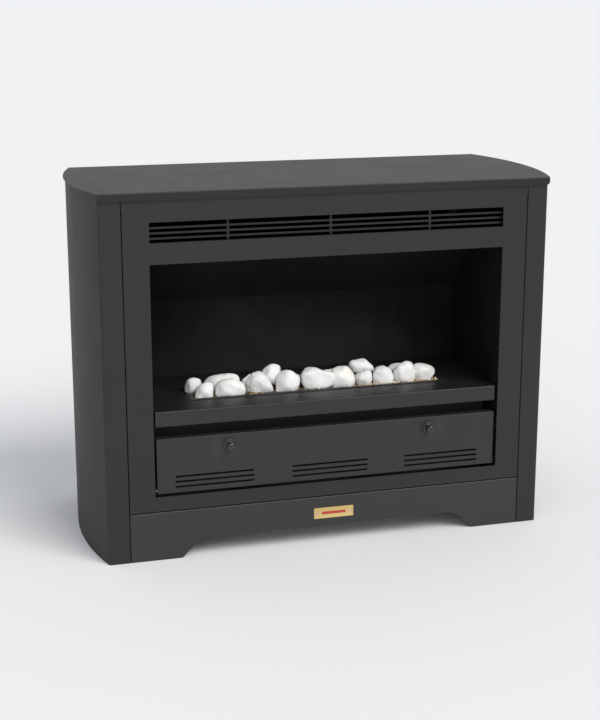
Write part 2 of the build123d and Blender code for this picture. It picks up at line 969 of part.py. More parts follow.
with BuildPart() as firebox_roof:
    roof_half = liner_half + sheet + inner_flange
    roof_back = lean_depth + roof_overlap
    block(-roof_half, roof_half, 2 * sheet, roof_back, firebox_top, firebox_top + sheet)
    with BuildSketch(Plane.XY.offset(firebox_top)):
        with Locations((0, at_depth(outlet_depth))):
            with GridLocations(outlet_length + outlet_gap, 2 * outlet_height, outlet_count, 2):
                SlotOverall(outlet_length, outlet_height)
    extrude(amount=sheet, mode=Mode.SUBTRACT)

# Heat shield behind the firebox, and the baffle that turns warm air to the grille
with BuildPart() as heat_shield:
    shield_half = shield_width / 2
    block(-shield_half, shield_half, shield_depth, shield_depth + sheet, base_top, shield_top)
    block(
        -shield_half,
        shield_half,
        shield_depth,
        shield_depth + inner_flange,
        base_top,
        base_top + sheet,
    )
    stepped_rod(
        (valve_x, at_depth(shield_depth - sheet), inlet_height),
        (0, 1, 0),
        [(supply_radius + pipe_hole_gap, 4 * sheet)],
        mode=Mode.SUBTRACT,
    )

heat_baffle = folded_sheet(
    [
        (2 * sheet, baffle_height + baffle_front_rise),
        (2 * sheet, baffle_height),
        (baffle_flat_depth, baffle_height),
        (shield_depth - sheet, shield_top - baffle_back_drop),
        (shield_depth - sheet, shield_top - baffle_tail_drop),
    ],
    baffle_bend_radius,
    sheet,
    Side.LEFT,
    shield_half,
)

# Burner shelf: the deck across the firebox, folded down at the front
pan_opening = (-pan_half - pan_gap, pan_half + pan_gap, pan_front - pan_gap, pan_back + pan_gap)
with BuildPart() as burner_shelf:
    deck_half = liner_half - shelf_wall_gap
    lip_half = shelf_lip_width / 2
    lip_back = shelf_lip_recess + panel_return
    block(-deck_half, deck_half, lip_back, firebox_depth, deck_under, deck_top)
    with BuildSketch(Plane.YZ) as shelf_section:
        with BuildLine():
            FilletPolyline(
                (at_depth(lip_back), deck_top),
                (at_depth(shelf_lip_recess), deck_top),
                (at_depth(shelf_lip_recess), deck_top - shelf_lip_height),
                (at_depth(shelf_lip_recess + shelf_lip_return), deck_top - shelf_lip_height),
                radius=bend_radius,
            )
            offset(amount=sheet, side=Side.LEFT)
        make_face()
    extrude(amount=lip_half, both=True)
    fold_low = deck_under - shelf_back_fold
    block(-deck_half, deck_half, firebox_depth - sheet, firebox_depth, fold_low, deck_top)
    block(*pan_opening, deck_under - 1, deck_top + 1, mode=Mode.SUBTRACT)
    block(
        probe_x - pilot_plate_left - pilot_opening_gap,
        pilot_x + pilot_plate_right + pilot_opening_gap,
        pan_back + pan_flange + pilot_opening_front,
        pilot_depth + pilot_opening_back,
        deck_under - 1,
        deck_top + 1,
        mode=Mode.SUBTRACT,
    )

# Rails on the liners that carry the shelf
shelf_rail_front = shelf_lip_recess + shelf_lip_return + shelf_rail_gap
shelf_rail_back = firebox_depth - shelf_rail_back_gap
with BuildPart() as right_shelf_rail:
    for width, height in ((sheet, shelf_rail_leg), (shelf_rail_foot, sheet)):
        block(
            liner_half - width,
            liner_half,
            shelf_rail_front,
            shelf_rail_back,
            deck_under - height,
            deck_under,
        )

with BuildPart() as left_shelf_rail:
    mirror(right_shelf_rail.part, about=Plane.YZ)

# Burner pan, hung in the shelf by its rim
with BuildPart() as burner_pan:
    block(-pan_half, pan_half, pan_front, pan_back, pan_floor, deck_top)
    block(
        -pan_half - pan_flange,
        pan_half + pan_flange,
        pan_front - pan_flange,
        pan_back + pan_flange,
        deck_top,
        deck_top + pan_sheet,
    )
    block(
        -pan_half + pan_sheet,
        pan_half - pan_sheet,
        pan_front + pan_sheet,
        pan_back - pan_sheet,
        pan_floor + pan_sheet,
        deck_top + 2 * pan_sheet,
        mode=Mode.SUBTRACT,
    )
    pan_middle = (pan_front + pan_back) / 2
    stepped_rod(
        (pan_half - 2 * pan_sheet, at_depth(pan_middle), mixer_height),
        (1, 0, 0),
        [(mixer_radius + fit_gap, 4 * pan_sheet)],
        mode=Mode.SUBTRACT,
    )

# Port plate: a channel on the pan's floor, with two rows of flame ports
with BuildPart() as port_plate:
    plate_half = pan_half - 2 * pan_sheet
    plate_front = pan_front + pan_sheet + touch_gap
    plate_back = pan_back - pan_sheet - touch_gap
    block(-plate_half, plate_half, plate_front, plate_back, port_height, port_height + pan_sheet)
    for low in (plate_front, plate_back - pan_sheet):
        block(-plate_half, plate_half, low, low + pan_sheet, pan_floor + pan_sheet, port_height)
    port_columns = int(2 * plate_half / port_pitch)
    with BuildSketch(Plane.XY.offset(port_height)):
        with Locations((0, at_depth(pan_middle))):
            with GridLocations(port_pitch, port_pitch, port_columns, 2):
                Circle(port_radius)
    extrude(amount=pan_sheet, mode=Mode.SUBTRACT)

# The bed of granules that spreads the flame under the stones
with BuildPart() as ember_bed:
    block(-plate_half, plate_half, plate_front, plate_back, port_height + pan_sheet, bed_top)

with BuildPart() as pebbles:
    for x, depth, width, thickness, height in pebbles_by_place:
        stone = scale(Sphere(0.5, mode=Mode.PRIVATE), by=(width, thickness, height), mode=Mode.PRIVATE)
        with Locations((x, at_depth(depth), bed_top + height / 2 - pebble_flat)):
            add(stone)
    split(bisect_by=Plane.XY.offset(bed_top), keep=Keep.TOP)

# Mixer tube: gas and air enter at the bell and reach the pan below the ports
mixer_start = pan_half - mixer_inner_reach
mixer_end = pan_half + mixer_outer_reach
with BuildPart() as mixer_tube:
    with BuildSketch(Plane.XZ.offset(-at_depth(pan_middle))):
        with BuildLine():
            Polyline(
                (mixer_start, mixer_height + mixer_radius),
                (mixer_end, mixer_height + mixer_radius),
                (mixer_end + bell_length, mixer_height + bell_radius),
                (mixer_end + bell_length, mixer_height + bell_radius - mixer_wall),
                (mixer_end, mixer_height + mixer_radius - mixer_wall),
                (mixer_start, mixer_height + mixer_radius - mixer_wall),
                close=True,
            )
        make_face()
    mixer_axis = Axis((0, at_depth(pan_middle), mixer_height), (1, 0, 0))
    revolve(axis=mixer_axis)

# Injector: the brass jet that points into the bell, on a bracket on the liner
injector_x = liner_half - 2 * sheet - injector_standoff
with BuildPart() as injector:
    stepped_rod(
        (liner_half - sheet, at_depth(pan_middle), mixer_height),
        (-1, 0, 0),
        [
            (injector_radius, injector_length),
            (injector_neck_radius, injector_neck),
            (injector_tip_radius, injector_tip),
        ],
    )
    stepped_rod(
        (injector_x, at_depth(pan_middle), mixer_height),
        (0, 0, -1),
        [(injector_radius, injector_elbow)],
    )
    stepped_rod(
        (liner_half, at_depth(pan_middle), mixer_height),
        (-1, 0, 0),
        [(injector_bore_radius, 2 * injector_length)],
        mode=Mode.SUBTRACT,
    )

with BuildPart() as injector_bracket:
    block(
        liner_half - sheet,
        liner_half,
        pan_middle - injector_bracket_half,
        pan_middle + injector_bracket_half,
        mixer_height - injector_bracket_drop,
        deck_under - shelf_rail_leg - touch_gap,
    )

# Control panel across the space behind the flap
with BuildPart() as control_panel:
    panel_half = liner_half
    block(-panel_half, panel_half, panel_depth, panel_depth + sheet, base_top, panel_top)
    block(-panel_half, panel_half, panel_depth, panel_depth + inner_flange, base_top, base_top + sheet)
    for side in (-1, 1):
        flange = sorted((side * panel_half, side * (panel_half - sheet)))
        block(*flange, panel_depth, panel_depth + inner_flange, base_top, panel_top)
    for x, radius in ((valve_x, spindle_radius + spindle_hole_gap), (piezo_x, piezo_radius + fit_gap)):
        stepped_rod(
            (x, at_depth(panel_depth - sheet), valve_z),
            (0, 1, 0),
            [(radius, 3 * sheet)],
            mode=Mode.SUBTRACT,
        )
    with BuildSketch(Plane.XZ.offset(-at_depth(panel_depth))):
        with Locations((panel_vent_x, valve_z)):
            with GridLocations(panel_vent_pitch, panel_vent_row_pitch, panel_vents, panel_vents):
                SlotOverall(panel_vent_length, panel_vent_height)
    extrude(amount=-sheet, mode=Mode.SUBTRACT)

# Dial plate round the gas knob
with BuildPart() as dial_plate:
    with BuildSketch(Plane.XZ.offset(-at_depth(panel_depth))):
        with Locations((valve_x, valve_z)):
            RectangleRounded(dial_width, dial_width, dial_corner)
            Circle(spindle_radius + spindle_hole_gap, mode=Mode.SUBTRACT)
    extrude(amount=dial_thickness)

# Gas valve on the back of the control panel
valve_front = panel_depth + sheet
valve_back = valve_front + valve_length
with BuildPart() as gas_valve:
    block(
        valve_x - valve_width / 2,
        valve_x + valve_width / 2,
        valve_front,
        valve_back,
        valve_z - valve_height / 2,
        valve_z + valve_height / 2,
    )
    fillet(gas_valve.edges().filter_by(Axis.Y), valve_corner)
    stepped_rod(
        (valve_x, at_depth(valve_back), supply_height),
        (0, 1, 0),
        [(valve_port_radius, valve_port)],
    )
    stepped_rod(
        (valve_x, at_depth(valve_front), valve_z),
        (0, 1, 0),
        [
            (spindle_radius + touch_gap, rotor_setback),
            (rotor_radius + touch_gap, rotor_length + 2 * rotor_end_gap),
        ],
        mode=Mode.SUBTRACT,
    )

# Rotor inside the valve, turned by the spindle that slides in it
rotor_front = valve_front + rotor_setback + rotor_end_gap
spindle_slot = rotor_length - rotor_floor
with BuildPart() as valve_rotor:
    stepped_rod((valve_x, at_depth(rotor_front), valve_z), (0, 1, 0), [(rotor_radius, rotor_length)])
    stepped_rod(
        (valve_x, at_depth(rotor_front), valve_z),
        (0, 1, 0),
        [(spindle_radius + spindle_slip, spindle_slot)],
        mode=Mode.SUBTRACT,
    )

knob_back = panel_depth - dial_thickness - knob_standoff
knob_front = knob_back - knob_length
spindle_tip = rotor_front + spindle_slot - push_travel - rotor_end_gap
with BuildPart() as valve_spindle:
    stepped_rod(
        (valve_x, at_depth(knob_back - knob_bore), valve_z),
        (0, 1, 0),
        [(spindle_radius, spindle_tip - knob_back + knob_bore)],
    )

with BuildPart() as valve_knob:
    stepped_rod(
        (valve_x, at_depth(knob_back), valve_z),
        (0, -1, 0),
        [(knob_radius, knob_skirt), (knob_grip_radius, knob_length - knob_skirt)],
    )
    # A grip bar across the knob, with its pointer end at the rim
    block(
        valve_x - grip_bar_half,
        valve_x + grip_bar_half,
        knob_front,
        knob_back - knob_skirt,
        valve_z - knob_grip_radius,
        valve_z + knob_radius - grip_bar_setback,
    )
    fillet(valve_knob.faces().sort_by(Axis.Y)[0].edges(), knob_round)
    stepped_rod(
        (valve_x, at_depth(knob_back), valve_z),
        (0, -1, 0),
        [(spindle_radius + fit_gap, knob_bore + fit_gap)],
        mode=Mode.SUBTRACT,
    )

# Spark igniter: a barrel through the panel with a push button
piezo_bore = 2 * piezo_bezel + piezo_plunger + piezo_travel + piezo_plunger_gap
with BuildPart() as piezo_igniter:
    stepped_rod(
        (piezo_x, at_depth(panel_depth - piezo_bezel), valve_z),
        (0, 1, 0),
        [(piezo_bezel_radius, piezo_bezel), (piezo_radius, piezo_length)],
    )
    stepped_rod(
        (piezo_x, at_depth(panel_depth - 2 * piezo_bezel), valve_z),
        (0, 1, 0),
        [(piezo_button_radius + spindle_slip, piezo_bore)],
        mode=Mode.SUBTRACT,
    )

with BuildPart() as piezo_button:
    stepped_rod(
        (piezo_x, at_depth(panel_depth - piezo_bezel - piezo_button_reach), valve_z),
        (0, 1, 0),
        [(piezo_button_radius, piezo_button_reach + piezo_plunger)],
    )
    fillet(piezo_button.faces().sort_by(Axis.Y)[0].edges(), piezo_button_round)

# Pilot group behind the pan: bracket, pilot burner, flame probe and electrode
with BuildPart() as pilot_bracket:
    bracket_low = probe_x - pilot_plate_left
    bracket_high = pilot_x + pilot_plate_right
    bracket_back = pilot_depth + pilot_plate_back
    block(
        bracket_low,
        bracket_high,
        pan_back + pan_flange,
        bracket_back,
        pilot_plate_height,
        pilot_plate_height + sheet,
    )
    block(
        bracket_low,
        bracket_high,
        bracket_back - sheet,
        bracket_back,
        pilot_plate_height,
        deck_under,
    )
    block(
        bracket_low,
        bracket_high,
        bracket_back - sheet,
        bracket_back + inner_flange,
        deck_under - sheet,
        deck_under,
    )
    for x, depth, radius in (
        (pilot_x, pilot_depth, pilot_radius),
        (electrode_x, electrode_depth, probe_radius),
        (probe_x, probe_depth, probe_radius),
    ):
        stepped_rod(
            (x, at_depth(depth), pilot_plate_height - sheet),
            (0, 0, 1),
            [(radius + fit_gap, 3 * sheet)],
            mode=Mode.SUBTRACT,
        )

with BuildPart() as pilot_burner:
    stepped_rod(
        (pilot_x, at_depth(pilot_depth), pilot_plate_height - pilot_foot),
        (0, 0, 1),
        [
            (pilot_radius + pilot_foot_step, pilot_foot),
            (pilot_radius, pilot_body),
            (pilot_radius + pilot_cap_step, pilot_cap),
        ],
    )
    stepped_rod(
        (pilot_x, at_depth(pilot_depth), pilot_plate_height + pilot_bore_start),
        (0, 0, 1),
        [(pilot_radius - pilot_wall, pilot_body + pilot_cap)],
        mode=Mode.SUBTRACT,
    )

with BuildPart() as flame_probe:
    stepped_rod(
        (probe_x, at_depth(probe_depth), pilot_plate_height - probe_tail),
        (0, 0, 1),
        [
            (probe_radius + probe_tail_step, probe_tail),
            (probe_radius, probe_body),
            (probe_radius - probe_tip_step, probe_tip),
        ],
    )

with BuildPart() as spark_electrode:
    stepped_rod(
        (electrode_x, at_depth(electrode_depth), pilot_plate_height - electrode_tail),
        (0, 0, 1),
        [
            (probe_radius + probe_tail_step, electrode_tail),
            (probe_radius, probe_body),
            (electrode_tip_radius, electrode_tip),
        ],
    )

# Gas inlet: a threaded stub on a bracket, reached through the rear panel
with BuildPart() as inlet_bracket:
    block(
        valve_x - inlet_plate_half,
        valve_x + inlet_plate_half,
        inlet_plate_depth,
        inlet_plate_depth + sheet,
        base_top,
        inlet_height + inlet_plate_rise,
    )
    block(
        valve_x - inlet_plate_half,
        valve_x + inlet_plate_half,
        inlet_plate_depth - inlet_plate_foot,
        inlet_plate_depth + sheet,
        base_top,
        base_top + sheet,
    )
    stepped_rod(
        (valve_x, at_depth(inlet_plate_depth - sheet), inlet_height),
        (0, 1, 0),
        [(inlet_radius - inlet_neck_step + fit_gap, 4 * sheet)],
        mode=Mode.SUBTRACT,
    )

inlet_shoulder = inlet_plate_depth + sheet
with BuildPart() as gas_inlet:
    with BuildSketch(Plane.XZ.offset(-at_depth(inlet_shoulder))):
        with Locations((valve_x, inlet_height)):
            RegularPolygon(inlet_hex_half, 6, major_radius=False)
    extrude(amount=-inlet_hex)
    stepped_rod(
        (valve_x, at_depth(inlet_shoulder + inlet_hex), inlet_height),
        (0, 1, 0),
        [(inlet_radius, inlet_length)],
    )
    stepped_rod(
        (valve_x, at_depth(inlet_shoulder), inlet_height),
        (0, -1, 0),
        [(inlet_radius - inlet_neck_step, inlet_tail)],
    )
    stepped_rod(
        (valve_x, at_depth(inlet_shoulder - inlet_tail), inlet_height),
        (0, 1, 0),
        [(supply_radius - pipe_wall, inlet_tail + inlet_hex + inlet_length)],
        mode=Mode.SUBTRACT,
    )

# Pipes and leads, each along its own route between two fittings
valve_top = valve_z + valve_height / 2
valve_mid_depth = pan_middle
supply_pipe = pipe(
    [
        (valve_x, inlet_shoulder - inlet_tail, inlet_height),
        (valve_x, valve_back + supply_low_run, inlet_height),
        (valve_x, valve_back + supply_high_run, supply_height),
        (valve_x, valve_back + valve_port, supply_height),
    ],
    supply_bends,
    supply_radius,
    supply_radius - pipe_wall,
)
burner_pipe = pipe(
    [
        (valve_x + burner_outlet_offset, valve_mid_depth, valve_top),
        (valve_x + burner_outlet_offset, valve_mid_depth, valve_top + burner_pipe_rise),
        (injector_x, valve_mid_depth, valve_top + burner_pipe_rise - burner_pipe_fall),
        (injector_x, valve_mid_depth, mixer_height - injector_elbow),
    ],
    burner_pipe_bends,
    burner_pipe_radius,
    burner_pipe_radius - pipe_wall,
)
pilot_pipe = pipe(
    [
        (valve_x - pilot_outlet_offset, valve_mid_depth, valve_top),
        (valve_x - pilot_outlet_offset, valve_mid_depth, valve_top + pilot_pipe_rise),
        (pilot_x, pilot_depth, valve_top + pilot_pipe_rise),
        (pilot_x, pilot_depth, pilot_plate_height - pilot_foot),
    ],
    pilot_pipe_bends,
    pilot_pipe_radius,
    pilot_pipe_radius - pipe_wall,
)
probe_outlet_x = valve_x - valve_width / 2
probe_outlet_depth = valve_mid_depth + probe_outlet_offset
probe_outlet_z = valve_z + probe_outlet_rise
probe_lead = pipe(
    [
        (probe_outlet_x, probe_outlet_depth, probe_outlet_z),
        (probe_outlet_x - probe_lead_run, probe_outlet_depth, probe_outlet_z),
        (probe_x, probe_depth, valve_z + probe_lead_rise),
        (probe_x, probe_depth, pilot_plate_height - probe_tail),
    ],
    probe_lead_bends,
    probe_lead_radius,
)
spark_lead = pipe(
    [
        (piezo_x, panel_depth + piezo_length, valve_z),
        (piezo_x, panel_depth + piezo_length + spark_lead_run, valve_z),
        (electrode_x, electrode_depth, valve_z + spark_lead_rise),
        (electrode_x, electrode_depth, pilot_plate_height - electrode_tail),
    ],
    spark_lead_bends,
    spark_lead_radius,
)

# Flap: a tray-shaped door that drops forward on pins at its lower corners
with BuildPart() as control_flap:
    block(-flap_half, flap_half, flap_recess, flap_recess + flap_return, flap_bottom, flap_top)
    block(
        sheet - flap_half,
        flap_half - sheet,
        flap_skin_back,
        flap_recess + flap_return + 1,
        flap_bottom + sheet,
        flap_top - sheet,
        mode=Mode.SUBTRACT,
    )
    block(
        sheet - flap_half,
        flap_half - sheet,
        flap_recess + flap_bottom_return,
        flap_recess + flap_return + 1,
        flap_bottom - 1,
        flap_bottom + 2 * sheet,
        mode=Mode.SUBTRACT,
    )
    outer_edges = control_flap.faces().sort_by(Axis.Y)[0].edges()
    fillet(outer_edges, bend_radius / 2)
    for side in (-1, 1):
        keeper = sorted((side * (flap_half - sheet), side * (flap_half - sheet - keeper_width)))
        block(
            *keeper,
            flap_recess + flap_return - sheet,
            flap_recess + flap_return,
            keeper_z - keeper_height / 2,
            keeper_z + keeper_height / 2,
        )
        stepped_rod(
            (side * (flap_half - 2 * sheet), at_depth(hinge_depth), hinge_height),
            (side, 0, 0),
            [(hinge_pin_radius + fit_gap, 3 * sheet)],
            mode=Mode.SUBTRACT,
        )
        stepped_rod(
            (side * pull_x, at_depth(flap_recess - sheet), pull_z),
            (0, 1, 0),
            [(pull_screw_radius + fit_gap, 3 * sheet)],
            mode=Mode.SUBTRACT,
        )
    with BuildSketch(Plane.XZ.offset(-at_depth(flap_recess))):
        with Locations((0, louvre_low + louvre_pitch * (louvre_rows - 1) / 2)):
            with GridLocations(louvre_spacing, louvre_pitch, 3, louvre_rows):
                Rectangle(louvre_length, louvre_height)
    extrude(amount=-sheet, mode=Mode.SUBTRACT)

with BuildPart() as hinge_pins:
    for side in (-1, 1):
        stepped_rod(
            (side * (flap_half - sheet - hinge_pin_head), at_depth(hinge_depth), hinge_height),
            (side, 0, 0),
            [
                (hinge_pin_radius + hinge_pin_head_step, hinge_pin_head),
                (hinge_pin_radius, hinge_pin_length),
            ],
        )

# Hinge brackets: an ear beside each end of the flap, on a foot on the liner
ear_outer = liner_half - hinge_ear_gap
ear_low = flap_bottom - hinge_ear_below
ear_high = flap_bottom + hinge_ear_above
with BuildPart() as hinge_brackets:
    for side in (-1, 1):
        ear = sorted((side * (ear_outer - sheet), side * ear_outer))
        web = sorted((side * (ear_outer - sheet), side * liner_half))
        foot = sorted((side * (liner_half - sheet), side * liner_half))
        block(*ear, hinge_ear_front, hinge_web_depth, ear_low, ear_high)
        block(*web, hinge_web_depth, hinge_web_depth + sheet, ear_low, ear_high)
        block(*foot, hinge_web_depth, hinge_foot_depth, ear_low, ear_high)
        stepped_rod(
            (side * (ear_outer - 2 * sheet), at_depth(hinge_depth), hinge_height),
            (side, 0, 0),
            [(hinge_pin_radius + fit_gap, 3 * sheet)],
            mode=Mode.SUBTRACT,
        )

# Magnet catches on the liners, facing the flap's keeper tabs
with BuildPart() as magnet_catches:
    for side in (-1, 1):
        catch = sorted((side * (liner_half - magnet_width), side * liner_half))
        catch_front = flap_recess + flap_return + touch_gap
        block(
            *catch,
            catch_front,
            catch_front + magnet_depth,
            keeper_z - keeper_height / 2,
            keeper_z + keeper_height / 2,
        )

# Pull knobs, turned, each held by a screw from behind the flap
pull_tip = flap_recess - pull_reach
with BuildPart() as right_pull_knob:
    with BuildSketch(Plane.XY.offset(pull_z)) as knob_profile:
        with BuildLine():
            Polyline(
                (pull_x, at_depth(flap_recess)),
                (pull_x + pull_base_radius, at_depth(flap_recess)),
                (pull_x + pull_base_radius, at_depth(flap_recess - pull_base_thickness)),
                (pull_x + pull_neck_radius, at_depth(flap_recess - pull_base_thickness)),
                (pull_x + pull_neck_radius, at_depth(pull_tip + pull_head_length)),
                (pull_x + pull_head_radius, at_depth(pull_tip + pull_head_length)),
                (pull_x + pull_head_radius, at_depth(pull_tip)),
                (pull_x, at_depth(pull_tip)),
                close=True,
            )
        make_face()
        base_rim = (pull_x + pull_base_radius, at_depth(flap_recess - pull_base_thickness))
        fillet(knob_profile.vertices().sort_by_distance(base_rim)[0], pull_base_round)
        head_back = (pull_x + pull_head_radius, at_depth(pull_tip + pull_head_length))
        fillet(knob_profile.vertices().sort_by_distance(head_back)[0], pull_back_round)
        head_front = (pull_x + pull_head_radius, at_depth(pull_tip))
        fillet(knob_profile.vertices().sort_by_distance(head_front)[0], pull_front_round)
    knob_axis = Axis((pull_x, 0, pull_z), (0, 1, 0))
    revolve(axis=knob_axis)
    stepped_rod(
        (pull_x, at_depth(pull_tip), pull_z),
        (0, 1, 0),
        [(pull_dimple_radius, pull_dimple_depth)],
        mode=Mode.SUBTRACT,
    )
    stepped_rod(
        (pull_x, at_depth(flap_recess), pull_z),
        (0, -1, 0),
        [(pull_screw_radius + fit_gap, pull_bore)],
        mode=Mode.SUBTRACT,
    )

with BuildPart() as left_pull_knob:
    mirror(right_pull_knob.part, about=Plane.YZ)

with BuildPart() as pull_screws:
    for side in (-1, 1):
        stepped_rod(
            (side * pull_x, at_depth(flap_skin_back + screw_head), pull_z),
            (0, -1, 0),
            [(screw_head_radius, screw_head), (pull_screw_radius, sheet + pull_screw_length)],
        )

pieces = {
    "left_side_panel": left_side_panel,
    "right_side_panel": right_side_panel,
    "top_plate": top_plate,
    "top_plate_nuts": top_plate_nuts,
    "front_top_rail": front_top_rail,
    "rear_top_rail": rear_top_rail,
    "front_fascia": front_fascia,
    "top_grille": top_grille,
    "plinth": plinth,
    "badge_plate": badge_plate,
    "badge_rivets": badge_rivets,
    "base_plate": base_plate,
    "rear_panel": rear_panel,
    "rear_panel_screws": rear_panel_screws,
    "front_panel_screws": front_panel_screws,
    "left_liner": left_liner,
    "right_liner": right_liner,
    "liner_clips": liner_clips,
    "liner_screws": liner_screws,
    "firebox_back": firebox_back,
    "firebox_roof": firebox_roof,
    "heat_shield": heat_shield,
    "heat_baffle": heat_baffle,
    "burner_shelf": burner_shelf,
    "left_shelf_rail": left_shelf_rail,
    "right_shelf_rail": right_shelf_rail,
    "burner_pan": burner_pan,
    "port_plate": port_plate,
    "ember_bed": ember_bed,
    "pebbles": pebbles,
    "mixer_tube": mixer_tube,
    "injector": injector,
    "injector_bracket": injector_bracket,
    "control_panel": control_panel,
    "dial_plate": dial_plate,
    "gas_valve": gas_valve,
    "valve_rotor": valve_rotor,
    "valve_spindle": valve_spindle,
    "valve_knob": valve_knob,
    "piezo_igniter": piezo_igniter,
    "piezo_button": piezo_button,
    "pilot_bracket": pilot_bracket,
    "pilot_burner": pilot_burner,
    "flame_probe": flame_probe,
    "spark_electrode": spark_electrode,
    "inlet_bracket": inlet_bracket,
    "gas_inlet": gas_inlet,
    "supply_pipe": supply_pipe,
    "burner_pipe": burner_pipe,
    "pilot_pipe": pilot_pipe,
    "probe_lead": probe_lead,
    "spark_lead": spark_lead,
    "control_flap": control_flap,
    "hinge_pins": hinge_pins,
    "hinge_brackets": hinge_brackets,
    "magnet_catches": magnet_catches,
    "left_pull_knob": left_pull_knob,
    "right_pull_knob": right_pull_knob,
    "pull_screws": pull_screws,
}

os.makedirs("parts", exist_ok=True)
for name, piece in pieces.items():
    piece.part.label = name
    export_step(piece.part, f"parts/{name}.step")
print("nodes", len(pieces), "front plane at Y", front_y)
print("flap hinge", at_depth(hinge_depth), hinge_height)
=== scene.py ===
# %% [markdown]
# # A freestanding gas fireplace with a pebble burner
# The cabinet, its fixings and its gas fittings come from a CAD model, one node for each piece.
# This lesson dresses them. It gives every node a finish, and it remodels the pieces that a CAD solid
# leaves too plain: the stones, the granules they lie in, the turned knobs, the screws and the badge.

import math
import random

import bmesh
import bpy
from mathutils import Matrix, Vector, noise


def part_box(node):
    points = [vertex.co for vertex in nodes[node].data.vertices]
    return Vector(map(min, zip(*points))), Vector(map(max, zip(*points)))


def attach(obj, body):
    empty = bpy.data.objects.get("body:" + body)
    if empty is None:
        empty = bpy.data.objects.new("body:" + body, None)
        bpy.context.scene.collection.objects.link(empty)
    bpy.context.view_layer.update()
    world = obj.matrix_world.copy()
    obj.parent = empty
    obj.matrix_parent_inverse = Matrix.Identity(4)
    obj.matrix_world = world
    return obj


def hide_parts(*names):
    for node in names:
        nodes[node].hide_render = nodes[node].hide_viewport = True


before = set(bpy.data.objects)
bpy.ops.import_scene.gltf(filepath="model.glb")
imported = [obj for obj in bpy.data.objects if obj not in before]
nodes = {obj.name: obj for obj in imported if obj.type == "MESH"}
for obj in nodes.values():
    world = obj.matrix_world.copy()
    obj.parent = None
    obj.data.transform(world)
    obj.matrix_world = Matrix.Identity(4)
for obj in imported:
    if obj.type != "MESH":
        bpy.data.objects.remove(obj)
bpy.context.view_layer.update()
mm = 0.001

# %% [markdown]
# ## The camera
# A photograph can be matched only from the place it was taken. Straight edges of the cabinet, whose
# lengths stand in known ratios, were enough to work out where the camera stood, how it was turned and
# how long its lens was. The axis of the lens passes a little above the middle of the frame, and a
# small vertical shift says so.

# %% Camera
camera_place = Vector((-0.714017, -2.496283, 0.979511))
turn_right = math.radians(15.7803)
tilt_down = math.radians(13.8166)
frame_height = 720
focal_pixels = 1436.03
axis_above_middle = 23.5

lens = bpy.data.cameras.new("camera")
lens.sensor_fit = "VERTICAL"
lens.sensor_height = 36.0
lens.lens = lens.sensor_height * focal_pixels / frame_height
lens.shift_y = -axis_above_middle / frame_height
camera = bpy.data.objects.new("camera", lens)
camera.location = camera_place
camera.rotation_euler = (math.pi / 2 - tilt_down, 0.0, -turn_right)
bpy.context.scene.collection.objects.link(camera)
bpy.context.scene.camera = camera
print("lens", round(lens.lens, 2), "mm, shift", round(lens.shift_y, 4))

# %% [markdown]
# ## Shader values as Python expressions
# A node tree is easier to read as arithmetic. `Value` wraps one output socket, and its operators add
# Math nodes, so `1 - mask * 0.5` builds the nodes it describes. Every other node comes from one
# method of `Finish`, which takes the node's type, its settings and what its sockets hold.

# %% A socket that can be added and multiplied
class Value:
    def __init__(self, finish, socket):
        self.finish = finish
        self.socket = socket

    def maths(self, operation, first, second):
        return self.finish.node("ShaderNodeMath", {"operation": operation}, {0: first, 1: second})

    def __add__(self, other):
        return self.maths("ADD", self, other)

    def __radd__(self, other):
        return self.maths("ADD", other, self)

    def __sub__(self, other):
        return self.maths("SUBTRACT", self, other)

    def __rsub__(self, other):
        return self.maths("SUBTRACT", other, self)

    def __mul__(self, other):
        return self.maths("MULTIPLY", self, other)

    def __rmul__(self, other):
        return self.maths("MULTIPLY", other, self)


